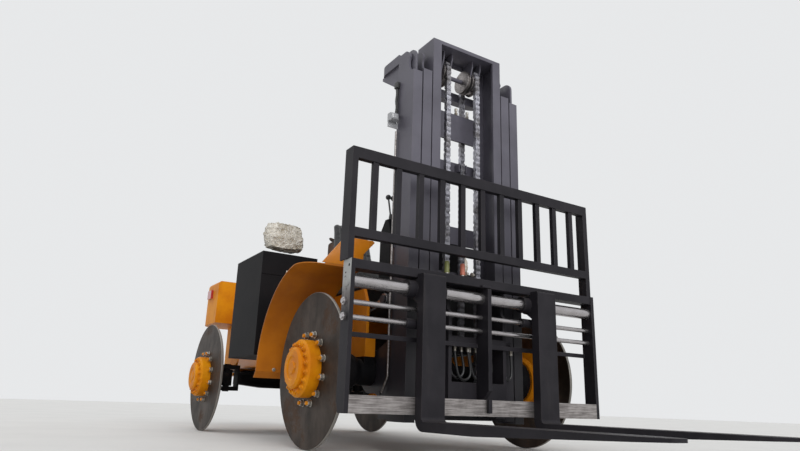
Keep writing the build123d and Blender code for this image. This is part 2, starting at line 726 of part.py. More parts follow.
hose_routes = (  # X of each hose, then its points (Y, Z) from fitting to fitting
    (812, ((-168, 620), (-168, 570), (-160, 518), (-149, 467), (-135, 440), (-107, 426), (-76, 432),
           (-55, 454), (-51, 486), (-58, 530), (-70, 575), (-70, 620))),
    (834, ((-136, 620), (-136, 568), (-126, 512), (-114, 455), (-100, 427), (-72, 412), (-41, 419),
           (-21, 441), (-17, 474), (-25, 522), (-38, 570), (-38, 620))),
    (812, ((-8, 620), (-8, 566), (0, 512), (13, 461), (27, 434), (55, 420), (86, 426),
           (107, 448), (111, 480), (104, 526), (91, 572), (91, 620))),
    (834, ((24, 620), (24, 572), (33, 522), (47, 475), (61, 448), (89, 434), (120, 440),
           (141, 462), (145, 494), (139, 536), (126, 578), (126, 620))),
    (835, ((240, 620), (240, 572), (242, 516), (245, 462), (255, 436), (273, 426), (292, 435),
           (303, 458), (305, 504), (300, 562), (300, 620))),
)
with BuildPart() as carriage_back:
    add(both_sides(carriage_side.part))
    for x, route in hose_routes:
        for y, z in (route[0], route[-1]):
            with Locations((x, y, z + hose_fitting_length / 2)):
                Cylinder(hose_fitting_r, hose_fitting_length)
            if abs(y) < roller_plate_y[0]:
                add(block((x, 865), (y - 8, y + 8), (z + 20, z + 36)))
            else:
                add(block((x - 8, x + 8), (roller_plate_y[0] + 5, y), (z + 20, z + 36)))
    add(block((865, carriage_rear_x), (-roller_plate_y[0], roller_plate_y[0]), (620, 660)))
    add(block((865, carriage_rear_x), (-roller_plate_y[0], roller_plate_y[0]), (260, 400)))
    add(block((800, carriage_rear_x), (-roller_plate_y[0], roller_plate_y[0]), (eye_clear_z[1], plate_top_z)))
save(carriage_back.part, "carriage_back")

# Hoses of the fork positioner: hanging loops between two fittings each, behind the forks
with BuildPart() as carriage_hoses:
    for x, route in hose_routes:
        points = [Vector(x, y, z) for y, z in route]
        runs = [b - a for a, b in zip(points, points[1:])]
        radii = []
        for before, after in zip(runs, runs[1:]):
            turn = radians(before.get_angle(after))
            radii.append(0.45 * min(before.length, after.length) / tan(turn / 2))
        print(f"hose at x {x}: bend radii from {min(radii):.0f} mm")
        with BuildLine() as hose_path:
            FilletPolyline(*points, radius=radii)
        with BuildSketch(Plane(origin=hose_path.line @ 0, z_dir=hose_path.line % 0)):
            Circle(hose_r)
        sweep(path=hose_path.line)
save(carriage_hoses.part, "carriage_hoses")

# Fork frame: end plates, top beam, foot beam, centre plate, thin rail under the rods
inside_half = carriage_half - end_plate_thick
frame_holes = ((shaft_r, shaft_x, shaft_z), (rod_r, shaft_x, rod_left_z), (rod_r, shaft_x, rod_right_z))
end_outline = [(carriage_rear_x + 20, carriage_foot_z), (carriage_front_x, carriage_foot_z),
               (carriage_front_x, carriage_top_z), (carriage_rear_x, carriage_top_z),
               (carriage_rear_x, carriage_foot_z + 60)]
centre_outline = [(carriage_rear_x, wear_bar_top_z), (945, wear_bar_top_z), (995, wear_bar_top_z + 50),
                  (995, 940), (carriage_front_x - 5, 950), (carriage_rear_x, 950)]
with BuildPart() as fork_frame:
    with BuildPart(mode=Mode.PRIVATE) as end_plate:
        add(side_plate(end_outline, (inside_half, carriage_half)))
        with BuildSketch(Plane.XZ.offset(-carriage_half)):
            with Locations((950, 965), (915, 925)):
                Circle(8)
        extrude(amount=12, mode=Mode.SUBTRACT)
    add(both_sides(end_plate.part))
    add(block((carriage_rear_x, carriage_front_x - 5), (-inside_half, inside_half),
              (carriage_top_z - beam_height, carriage_top_z)))
    add(block((carriage_rear_x, carriage_front_x - wear_bar_thick), (-inside_half, inside_half),
              (carriage_foot_z, wear_bar_top_z)))
    add(side_plate(centre_outline, (-centre_plate_half, centre_plate_half)))
    add(block((carriage_rear_x, carriage_rear_x + 12), (-inside_half, inside_half), (600, 625)))
    for radius, x, z in frame_holes:
        add(cross_bar(radius + running_gap, x, z, (-carriage_half - 1, carriage_half + 1)),
            mode=Mode.SUBTRACT)
save(fork_frame.part, "fork_frame")
save(block((carriage_front_x - wear_bar_thick, carriage_front_x), (-inside_half, inside_half),
           (carriage_foot_z, wear_bar_top_z)), "wear_bar")
save(cross_bar(shaft_r, shaft_x, shaft_z, (-carriage_half, carriage_half)), "fork_shaft")
with BuildPart() as positioner_rods:
    for z in (rod_left_z, rod_right_z):
        add(cross_bar(rod_r, shaft_x, z, (-carriage_half - 22, carriage_half + 22)))
        for side, side_name in sides:
            with BuildSketch(Plane.XZ.offset(-side * (carriage_half + 1 * rest_gap))):
                with Locations((shaft_x, z)):
                    RegularPolygon(23, 6)
            extrude(amount=-side * 14)
save(positioner_rods.part, "positioner_rods")

# Forks: eye on the shaft, shank, rounded heel, tapering blade with a rounded tip, positioner barrel
shank_rear_x = carriage_front_x + rest_gap
shank_front_x = shank_rear_x + fork_thick
blade_low_z = blade_top_z - blade_thick
for side, side_name in sides:
    centre = side * fork_y
    span = (centre - fork_width / 2, centre + fork_width / 2)
    with BuildPart() as fork:
        with BuildSketch(Plane.XZ.offset(-span[1])) as fork_side:
            with BuildLine():
                Polyline((shank_rear_x, fork_top_z), (shank_rear_x, blade_low_z),
                         (shank_front_x + 420, blade_low_z),
                         (fork_tip_x, blade_top_z - tip_thick), (fork_tip_x, blade_top_z),
                         (shank_front_x, blade_top_z), (shank_front_x, fork_top_z), close=True)
            make_face()
            corners = fork_side.vertices()
            fillet(corners.sort_by_distance((shank_rear_x, blade_low_z))[0], heel_r)
            fillet(fork_side.vertices().sort_by_distance((shank_front_x, blade_top_z))[0], heel_r / 3)
            fillet(fork_side.vertices().sort_by_distance((shank_front_x, fork_top_z))[0], 14)
        extrude(amount=fork_width)
        with BuildSketch(Plane.XY.offset(blade_low_z)) as fork_plan:
            with BuildLine():
                Polyline((shank_rear_x - 1, span[0]), (fork_tip_x - 120, span[0]), (fork_tip_x, span[0] + 38),
                         (fork_tip_x, span[1] - 38), (fork_tip_x - 120, span[1]), (shank_rear_x - 1, span[1]),
                         close=True)
            make_face()
            fillet(fork_plan.vertices().group_by(Axis.X)[-1], 30)
        extrude(amount=fork_top_z - blade_low_z, mode=Mode.INTERSECT)
        add(side_plate([(shaft_x, shaft_z - eye_r), (shank_front_x - 20, shaft_z - eye_r - 60),
                        (shank_front_x - 20, shaft_z + eye_r), (shaft_x, shaft_z + eye_r)], span))
        add(cross_bar(eye_r, shaft_x, shaft_z, span))
        add(cross_bar(collar_r, shaft_x, shaft_z, (span[0] - collar_length, span[1] + collar_length)))
        add(cross_bar(shaft_r + running_gap, shaft_x, shaft_z, (span[0] - 60, span[1] + 60)),
            mode=Mode.SUBTRACT)
    save(fork.part, f"fork_{side_name}")
    rod_z = rod_left_z if side > 0 else rod_right_z
    with BuildPart() as positioner:
        add(cross_bar(positioner_r, shaft_x, rod_z, (centre - positioner_half, centre + positioner_half)))
        add(block((shaft_x, shank_rear_x), (centre - 40, centre + 40), (rod_z - 20, rod_z + 20)))
        add(cross_bar(rod_r + running_gap, shaft_x, rod_z, (centre - 130, centre + 130)), mode=Mode.SUBTRACT)
    save(positioner.part, f"positioner_{side_name}")

# Load guard: bars between two rails, end posts with side returns down to the carriage
with BuildPart() as load_guard:
    add(block(guard_x, (-guard_half, guard_half), (guard_top_z - guard_top_bar, guard_top_z)))
    add(block(guard_x, (-guard_half, guard_half), guard_mid_z))
    add(both_sides(block(guard_x, (guard_half - guard_post, guard_half), (carriage_top_z, guard_top_z))))
    add(both_sides(block((guard_return_x, guard_x[0]), (guard_half - 10, guard_half),
                         (carriage_top_z, guard_top_z))))
save(load_guard.part, "load_guard")
with BuildPart() as guard_bars:
    with Locations(((guard_x[0] + guard_x[1]) / 2, 0, (guard_mid_z[1] + guard_top_z - guard_top_bar) / 2)):
        with GridLocations(1, guard_bar_pitch, 1, 2 * guard_bars_each_side + 1):
            Box(guard_x[1] - guard_x[0] - 10, guard_bar_width, guard_top_z - guard_top_bar - guard_mid_z[1])
save(guard_bars.part, "guard_bars")

# Chassis: cab side plates with the tilt cylinder pins, box rails, cross members, nose plate with stays
cab_side_outline = [(chassis_nose_x, chassis_rail_z[1]), (chassis_nose_x, 860), (400, floor_z),
                    (cab_rear_x, floor_z),
                    (cab_rear_x, chassis_rail_z[1])]
with BuildPart() as cab_side:
    add(side_plate(cab_side_outline, side_y))
    add(cross_bar(tilt_pin_r, tilt_base_x, tilt_base_z, (tilt_y - 26, side_y[0])))
save(both_sides(cab_side.part), "cab_sides")
with BuildPart() as chassis_side:
    add(block((chassis_tail_x, chassis_nose_x), rail_y, chassis_rail_z))
    add(block((-60, nose_x[0]), (tilt_slot_y - 20, tilt_slot_y), (600, 700)))
with BuildPart() as chassis_frame:
    add(both_sides(chassis_side.part))
    for x in (-110, cab_rear_x - 50, -1550, rear_axle_x - 130, rear_axle_x + 80):
        width = 50 if x < -1700 else 100
        add(block((x, x + width), (-rail_y[0], rail_y[0]), chassis_rail_z))
    for x in (rear_axle_x - 130, rear_axle_x + 80):
        add(bar(rear_pin_r + running_gap, (x - 10, 0, rear_pin_z), (x + 60, 0, rear_pin_z)),
            mode=Mode.SUBTRACT)
    add(front_plate([(-tilt_slot_y, 600), (tilt_slot_y, 600), (tilt_slot_y, floor_z),
                     (-tilt_slot_y, floor_z)], nose_x))
save(chassis_frame.part, "chassis_frame")

# Operator platform with guard foot holes and a grab rail by the left step
with BuildPart() as platform:
    add(block((-900, 400), (-side_y[1], side_y[1]), (floor_z, floor_z + floor_thick)))
    for side, side_name in sides:
        with Locations((guard_front[0], side * guard_front[1], floor_z)):
            with GridLocations(guard_hole_pitch, guard_hole_pitch, 2, 2):
                Cylinder(guard_hole_r, 4 * floor_thick, mode=Mode.SUBTRACT)
    rail_foot_z = floor_z + floor_thick
    with BuildLine() as grab_path:
        FilletPolyline((-840, 490, rail_foot_z), (-840, 490, 1330), (-600, 490, 1330),
                       (-600, 490, rail_foot_z),
                       radius=60)
    with BuildSketch(Plane(origin=grab_path.line @ 0, z_dir=grab_path.line % 0)):
        Circle(14)
    sweep(path=grab_path.line)
save(platform.part, "platform")

# Cowl: hollow sheet housing with a sloped dash
cowl_outline = [(cowl_x[1], floor_z + floor_thick), (cowl_x[1], 1380), (cowl_x[1] - 40, cowl_top_z),
                (cowl_x[0] + 60, cowl_top_z), (cowl_x[0], 1400), (cowl_x[0], floor_z + floor_thick)]
cowl_inside = [(cowl_x[1] - sheet, floor_z + floor_thick), (cowl_x[1] - sheet, 1378),
               (cowl_x[1] - 44, cowl_top_z - sheet), (cowl_x[0] + 62, cowl_top_z - sheet),
               (cowl_x[0] + sheet, 1397), (cowl_x[0] + sheet, floor_z + floor_thick)]
with BuildPart() as dash_cowl:
    add(side_plate(cowl_outline, (-cowl_half, cowl_half)))
    add(side_plate(cowl_inside, (-cowl_half + sheet, cowl_half - sheet)), mode=Mode.SUBTRACT)
save(dash_cowl.part, "dash_cowl")

# Steering column and wheel, tilted towards the seat
wheel_axis = Vector(-sin(radians(wheel_tilt)), 0, cos(radians(wheel_tilt)))
column_top = wheel_centre - wheel_axis * rest_gap
column_foot = wheel_centre - wheel_axis * column_length
with BuildPart() as steering_column:
    add(bar(column_r, tuple(column_foot), tuple(column_top)))
    add(block((cowl_x[0] - 70, cowl_x[0]), (-45, 45), (1160, 1290), 10))
save(steering_column.part, "steering_column")
wheel_plane = Plane(origin=wheel_centre, x_dir=(0, 1, 0), z_dir=wheel_axis)
with BuildPart() as steering_wheel:
    with BuildSketch(wheel_plane):
        Circle(column_r)
        with PolarLocations(85, 3, start_angle=90):
            Rectangle(170, 26)
    extrude(amount=12)
    with BuildSketch(Plane(origin=wheel_centre, x_dir=(0, 1, 0), z_dir=(cos(radians(wheel_tilt)), 0,
                                                                       sin(radians(wheel_tilt))))):
        with Locations((wheel_r - 15, 0)):
            Circle(15)
    revolve(axis=Axis(wheel_centre, wheel_axis))
save(steering_wheel.part, "steering_wheel")

# Hand levers on the cowl and pedals on the platform
with BuildPart() as controls:
    for y in (-285, -245, -205, -165):
        add(bar(6, (cowl_x[0] + 85, y, cowl_top_z + 2), (cowl_x[0] + 40, y, cowl_top_z + 170)))
        with Locations((cowl_x[0] + 38, y, cowl_top_z + 178)):
            Sphere(19)
    for y, width in ((-190, 70), (-90, 60), (150, 70)):
        pedal_foot_z = floor_z + floor_thick
        pedal_x = cowl_x[0] - 30
        add(side_plate([(pedal_x, pedal_foot_z), (pedal_x + 20, pedal_foot_z),
                        (pedal_x - 40, pedal_foot_z + 130),
                        (pedal_x - 85, pedal_foot_z + 150), (pedal_x - 90, pedal_foot_z + 140),
                        (pedal_x - 55, pedal_foot_z + 118)],
                       (y - width / 2, y + width / 2)))
save(controls.part, "controls")

# Fenders over the front wheels: arc from straight above the axle to straight behind it, then down
arc_turn = sqrt(0.5)
with BuildPart() as fender:
    with BuildSketch(Plane.XZ.offset(-fender_out_y - 10)):
        with BuildLine():
            overrun = 20
            for radius in (fender_r, fender_r - sheet):
                ThreePointArc((front_axle_x + overrun, axle_z + sqrt(radius ** 2 - overrun ** 2)),
                              (front_axle_x - radius * arc_turn, axle_z + radius * arc_turn),
                              (front_axle_x - radius, axle_z))
            Line((front_axle_x + overrun, axle_z + sqrt(fender_r ** 2 - overrun ** 2)),
                 (front_axle_x + overrun, axle_z + sqrt((fender_r - sheet) ** 2 - overrun ** 2)))
            Polyline((fender_rear_x, axle_z), (fender_rear_x - 30, fender_foot_z),
                     (fender_rear_x - 24, fender_foot_z - 2), (fender_rear_x + sheet, axle_z))
        make_face()
    extrude(amount=fender_out_y + 10 - side_y[1])
    with BuildSketch(Plane.XY.offset(fender_foot_z - 20)) as fender_plan:
        with BuildLine():
            Polyline((fender_rear_x - 80, side_y[1]), (front_axle_x, side_y[1]), (front_axle_x, fender_out_y),
                     (fender_rear_x - 80, fender_out_y), close=True)
        make_face()
        fillet(fender_plan.vertices().sort_by_distance((front_axle_x, fender_out_y))[0], fender_corner_r)
    extrude(amount=fender_top_z + 40 - fender_foot_z, mode=Mode.INTERSECT)
    add(front_plate([(800, fender_top_z - 5), (700, fender_top_z + 110), (570, fender_top_z + 110),
                     (side_y[1], fender_top_z + 60), (side_y[1], fender_top_z - 5)],
                    (front_axle_x - 8, front_axle_x)))
for side, side_name in sides:
    save(on_side(fender.part, side), f"front_fender_{side_name}")

# Side boxes: hydraulic tank on the right, fuel tank with steps on the left, caps on both
box_outline = [(box_x[0], box_z[0]), (box_x[1], box_z[0]), (box_x[1], box_lid_z - 3),
               (box_x[1] - 4, box_lid_z),
               (box_x[1], box_lid_z + 3), (box_x[1], box_z[1]), (box_x[0], box_z[1])]
for side, side_name in sides:
    with BuildPart() as side_box:
        add(side_plate(box_outline, (side_y[1], box_out_y)))
        if side > 0:
            for low in step_z:
                add(block((-760, -420), (box_out_y - 140, box_out_y + 1), (low, low + 200)),
                    mode=Mode.SUBTRACT)
        with Locations((-800, 850, box_z[1])):
            Cylinder(45, 50)
        add(block((box_x[0] + 40, wrap_x[0] - 40), (600, 610), (box_z[1] - 1, box_z[1] + 12)))
    save(on_side(side_box.part, side), f"side_box_{side_name}")

# Film-wrapped lamps standing on the side boxes
wrap_centre = ((wrap_x[0] + wrap_x[1]) / 2, (wrap_y[0] + wrap_y[1]) / 2)
wrap_length = wrap_x[1] - wrap_x[0]
wrap_width = wrap_y[1] - wrap_y[0]
wrap_foot = 14
with BuildPart() as wrapped_lamp:
    for height, share in ((wrap_foot, 0.86), (wrap_height * 0.4, 1), (wrap_height, 0.76)):
        with BuildSketch(Plane.XY.offset(box_z[1] + height)):
            with Locations(wrap_centre):
                RectangleRounded(share * wrap_length, share * wrap_width, 0.3 * share * wrap_length)
    loft()
    with Locations((*wrap_centre, box_z[1] + wrap_foot / 2)):
        Cylinder(22, wrap_foot)
save(both_sides(wrapped_lamp.part), "wrapped_lamps")

# Engine bay sides with louvres, front wall, engine block on its feet
louvre_pitch = 27
louvre_count = 12
with BuildPart() as bay_side:
    add(block(bay_x, side_y, (chassis_rail_z[1], bay_top_z)))
    louvre_z = (chassis_rail_z[1] + bay_top_z) / 2
    with BuildSketch(Plane.XZ.offset(-side_y[1])):
        with Locations((-1360, louvre_z)):
            with GridLocations(330, louvre_pitch, 2, louvre_count):
                SlotOverall(290, 12)
    extrude(amount=side_y[1] - side_y[0], mode=Mode.SUBTRACT)
with BuildPart() as engine_bay:
    add(both_sides(bay_side.part))
    add(block((bay_x[1] - 10, bay_x[1]), (-side_y[0], side_y[0]), (chassis_rail_z[1], bay_top_z)))
save(engine_bay.part, "engine_bay")
with BuildPart() as engine:
    add(block(engine_x, (-engine_half, engine_half), engine_z))
    for x in (engine_x[0] + 80, engine_x[1] - 180):
        add(both_sides(block((x, x + 100), (engine_half, 490), (chassis_rail_z[1], chassis_rail_z[1] + 50))))
save(engine.part, "engine")

# Hood: hollow arched lid over the engine bay, handle at its front, hinge barrel at its rear
hinge_lug_y = (hinge_half + 2, hinge_half + 22)
hood_low_z = bay_top_z + rest_gap


def hood_section(half, low_z, top_z, x):
    """Arched section with rounded shoulders, swept along X."""
    shoulder = hood_shoulder
    with BuildPart() as body:
        with BuildSketch(Plane.YZ.offset(x[0])):
            with BuildLine():
                Polyline((-half, top_z - shoulder), (-half, low_z), (half, low_z), (half, top_z - shoulder))
                ThreePointArc((half, top_z - shoulder), (half - 0.26 * shoulder, top_z - 0.32 * shoulder),
                              (half - shoulder, top_z - 14))
                ThreePointArc((half - shoulder, top_z - 14), (0, top_z), (-half + shoulder, top_z - 14))
                ThreePointArc((-half + shoulder, top_z - 14),
                              (-half + 0.26 * shoulder, top_z - 0.32 * shoulder),
                              (-half, top_z - shoulder))
            make_face()
        extrude(amount=x[1] - x[0])
    return body.part


with BuildPart() as hood:
    add(hood_section(side_y[1], hood_low_z, hood_top_z, (hood_hinge_x, bay_x[1])))
    add(hood_section(side_y[1] - sheet, hood_low_z, hood_top_z - sheet,
                     (hood_hinge_x + sheet, bay_x[1] - sheet)),
        mode=Mode.SUBTRACT)
    add(block((bay_x[1], bay_x[1] + 14), (-70, 70), (1210, 1230)))
    add(both_sides(block((hood_hinge_x - 1, hood_hinge_x + 22), (hinge_half, hinge_lug_y[1] + 2),
                         (hood_top_z - 32, hood_top_z + 1))), mode=Mode.SUBTRACT)
    add(cross_bar(hinge_r, hood_hinge_x, hood_top_z, (-hinge_half, hinge_half)))
    add(cross_bar(hinge_pin_r + running_gap, hood_hinge_x, hood_top_z, (-hinge_half - 1, hinge_half + 1)),
        mode=Mode.SUBTRACT)
save(hood.part, "hood")

# Counterweight: wide over the wheels, narrow core between them, tow lugs, radiator grille
grille_half = 300
with BuildPart() as counterweight:
    with BuildSketch(Plane.XY.offset(arch_top_z)) as weight_plan:
        with BuildLine():
            Polyline((weight_x[1], -weight_half), (weight_x[1], weight_half), (weight_x[0], weight_half),
                     (weight_x[0], -weight_half), close=True)
        make_face()
        fillet(weight_plan.vertices().sort_by(Axis.X)[:2], 220)
    extrude(amount=weight_top_z - arch_top_z)
    fillet(counterweight.faces().sort_by(Axis.Z)[-1].edges().sort_by(Axis.X)[:-1], 30)
    lug_outline = [(weight_x[1] - 60, weight_top_z), (weight_x[1], weight_top_z),
                   (hood_hinge_x + 10, hood_top_z - 8),
                   (hood_hinge_x + 10, hood_top_z + 8), (hood_hinge_x - 10, hood_top_z + 10)]
    add(both_sides(side_plate(lug_outline, hinge_lug_y)))
    add(cross_bar(hinge_pin_r, hood_hinge_x, hood_top_z, (-hinge_lug_y[1], hinge_lug_y[1])))
    add(side_plate([(weight_x[1], arch_top_z), (weight_x[1], 600), (-2060, 570), (-2060, weight_core_foot_z),
                    (weight_core_rear_x + 60, weight_core_foot_z),
                    (weight_core_rear_x, weight_core_foot_z + 80),
                    (weight_core_rear_x, arch_top_z)],
                   (-weight_core_half, weight_core_half)))
    with BuildSketch(Plane.YZ.offset(tail_x)):
        with Locations((0, (arch_top_z + weight_top_z) / 2)):
            RectangleRounded(2 * grille_half, 270, 30)
    extrude(amount=60, mode=Mode.SUBTRACT)
    with Locations((tail_x + 40, 0, (arch_top_z + weight_top_z) / 2)):
        with GridLocations(1, 2 * grille_half / 15, 1, 14):
            Box(40, 10, 272)
    for z in (580, 670):
        add(plan_plate([(weight_core_rear_x, -80), (weight_core_rear_x, 80), (tail_x, 45), (tail_x, -45)],
                       (z, z + 30)))
    add(bar(tow_pin_r, (tow_x, 0, 570), (tow_x, 0, 710)), mode=Mode.SUBTRACT)
    for side, side_name in sides:
        with Locations((guard_rear[0], side * guard_rear[1], weight_top_z)):
            with GridLocations(guard_hole_pitch, guard_hole_pitch, 2, 2):
                Cylinder(guard_hole_r, 80, mode=Mode.SUBTRACT)
save(counterweight.part, "counterweight")

# Rear lamps in housings on the counterweight's flanks
with BuildPart() as rear_lamp:
    add(block((-2230, -2120), (weight_half, weight_half + 22), (1180, 1260)))
save(both_sides(rear_lamp.part), "rear_lamps")

# Seat: sprung base, cushion and back
save(block((-800, -320), (-260, 260), (floor_z + floor_thick, seat_z[0]), 20), "seat_base")
back_foot_z = seat_z[1] + rest_gap
with BuildPart() as seat_pads:
    add(block(seat_x, (-seat_half, seat_half), (seat_z[0] + rest_gap, seat_z[1]), 60))
    add(side_plate([(seat_x[0] + 100, back_foot_z), (seat_x[0], back_foot_z),
                    (seat_x[0] - 110, seat_top_z - 20),
                    (seat_x[0] - 30, seat_top_z)], (-seat_half + 15, seat_half - 15), 8))
save(seat_pads.part, "seat_pads")

# Exhaust: flange and stack with a slanted mouth behind the hood
with BuildPart() as exhaust:
    with Locations((-2020, 380, weight_top_z)):
        Cylinder(62, 12, align=(Align.CENTER, Align.CENTER, Align.MIN))
    add(bar(38, (-2020, 380, weight_top_z), (-2020, 380, 1900)))
    add(bar(32, (-2020, 380, 1500), (-2020, 380, 1901)), mode=Mode.SUBTRACT)
    add(side_plate([(-2070, 1840), (-1970, 1905), (-2070, 1905)], (330, 430)), mode=Mode.SUBTRACT)
save(exhaust.part, "exhaust")
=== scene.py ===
import json
import math

import bmesh
import bpy
from mathutils import Matrix, Vector


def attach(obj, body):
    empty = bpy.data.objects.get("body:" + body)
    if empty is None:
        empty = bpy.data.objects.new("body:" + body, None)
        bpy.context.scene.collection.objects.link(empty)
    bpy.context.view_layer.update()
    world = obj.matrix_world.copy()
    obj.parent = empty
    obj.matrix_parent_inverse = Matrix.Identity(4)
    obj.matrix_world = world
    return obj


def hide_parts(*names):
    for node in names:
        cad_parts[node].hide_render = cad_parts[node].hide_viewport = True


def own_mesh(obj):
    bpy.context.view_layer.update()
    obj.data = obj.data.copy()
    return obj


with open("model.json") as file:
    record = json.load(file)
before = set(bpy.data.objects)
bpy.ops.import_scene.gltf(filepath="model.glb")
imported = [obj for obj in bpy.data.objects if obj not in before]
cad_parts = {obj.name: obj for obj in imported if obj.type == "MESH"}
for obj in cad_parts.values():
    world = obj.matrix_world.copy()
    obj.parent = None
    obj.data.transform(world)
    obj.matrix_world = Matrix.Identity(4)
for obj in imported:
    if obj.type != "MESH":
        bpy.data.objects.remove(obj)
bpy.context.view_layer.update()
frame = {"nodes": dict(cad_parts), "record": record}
nodes = frame["nodes"]
sides = (("left", 1), ("right", -1))


# Camera: a 28 mm lens from the front right corner, near floor level
view = {
    "place": (3.816, -2.386, 0.262),
    "right": (0.533367, 0.845321, 0.030849),
    "up": (0.218828, -0.173117, 0.960284),
    "back": (0.817089, -0.505433, -0.277315),
    "lens": 28,
}


def placeCamera():
    lens = bpy.data.cameras.new("camera")
    lens.lens = view["lens"]
    lens.sensor_width = 36
    camera = bpy.data.objects.new("camera", lens)
    bpy.context.scene.collection.objects.link(camera)
    turn = Matrix((view["right"], view["up"], view["back"])).transposed()
    camera.matrix_world = Matrix.Translation(view["place"]) @ turn.to_4x4()
    bpy.context.scene.camera = camera


placeCamera()
print("camera placed")


# Shader maths: a wire is one socket, and Python's operators add Math nodes to it
class Wire:
    def __init__(self, shade, socket):
        self.shade = shade
        self.socket = socket

    def sum(self, operation, first, second):
        return self.shade.node("ShaderNodeMath", {"operation": operation}, {0: first, 1: second})

    def __add__(self, other):
        return self.sum("ADD", self, other)

    def __radd__(self, other):
        return self.sum("ADD", other, self)

    def __sub__(self, other):
        return self.sum("SUBTRACT", self, other)

    def __rsub__(self, other):
        return self.sum("SUBTRACT", other, self)

    def __mul__(self, other):
        return self.sum("MULTIPLY", self, other)

    def __rmul__(self, other):
        return self.sum("MULTIPLY", other, self)

    def __pow__(self, other):
        return self.sum("POWER", self, other)

    def __abs__(self):
        return self.sum("ABSOLUTE", self, 0)


class Shade:
    def __init__(self, name):
        self.material = bpy.data.materials.new(name)
        self.material.use_nodes = True
        self.tree = self.material.node_tree
        self.tree.nodes.clear()
        self.place = self.node("ShaderNodeTexCoord", out="Object")

    def node(self, kind, settings=None, sockets=None, out=0):
        made = self.tree.nodes.new(kind)
        for name, value in (settings or {}).items():
            setattr(made, name, value)
        for name, value in (sockets or {}).items():
            if isinstance(value, Wire):
                self.tree.links.new(value.socket, made.inputs[name])
            elif value is not None:
                plain = made.inputs[name]
                isColour = plain.type == "RGBA" and len(value) == 3
                plain.default_value = (*value, 1) if isColour else value
        return Wire(self, made.outputs[out])

    def noise(self, scale, detail=3, roughness=0.5, stretch=(1, 1, 1), shift=(0, 0, 0), distortion=0):
        sockets = {"Vector": self.place, "Location": shift, "Scale": stretch}
        moved = self.node("ShaderNodeMapping", None, sockets)
        sockets = {"Vector": moved, "Scale": scale, "Detail": detail, "Roughness": roughness}
        return self.node("ShaderNodeTexNoise", None, {**sockets, "Distortion": distortion})

    def cells(self, scale, stretch):  # how far it is to the nearest cell wall
        moved = self.node("ShaderNodeMapping", None, {"Vector": self.place, "Scale": stretch})
        settings = {"feature": "DISTANCE_TO_EDGE"}
        return self.node("ShaderNodeTexVoronoi", settings, {"Vector": moved, "Scale": scale}, "Distance")

    def band(self, value, low, high):  # 0 below low, 1 above high, smooth between
        sockets = {"Value": value, "From Min": low, "From Max": high}
        return self.node("ShaderNodeMapRange", {"interpolation_type": "SMOOTHSTEP"}, sockets)

    def mix(self, factor, first, second):
        return self.node("ShaderNodeMix", {"data_type": "RGBA"}, {0: factor, 6: first, 7: second}, out=2)

    def axes(self, vector=None):
        apart = self.tree.nodes.new("ShaderNodeSeparateXYZ")
        self.tree.links.new((vector or self.place).socket, apart.inputs[0])
        return [Wire(self, socket) for socket in apart.outputs]

    def upward(self):  # how far a face looks up
        return self.axes(self.node("ShaderNodeTexCoord", out="Normal"))[2]

    def edges(self, radius):  # a rounded normal, and how far it leaves the flat one
        soft = self.node("ShaderNodeBevel", {"samples": 4}, {"Radius": radius})
        flat = self.node("ShaderNodeNewGeometry", out="Normal")
        dot = {"operation": "DOT_PRODUCT"}
        return soft, 1 - self.node("ShaderNodeVectorMath", dot, {0: soft, 1: flat}, "Value")

    def bump(self, height, strength, distance, normal=None):
        sockets = {"Height": height, "Strength": strength, "Distance": distance, "Normal": normal}
        return self.node("ShaderNodeBump", None, sockets)

    def surface(self, **sockets):
        named = {name.replace("_", " "): value for name, value in sockets.items()}
        skin = self.node("ShaderNodeBsdfPrincipled", None, named)
        end = self.tree.nodes.new("ShaderNodeOutputMaterial")
        self.tree.links.new(skin.socket, end.inputs["Surface"])
        return self.material


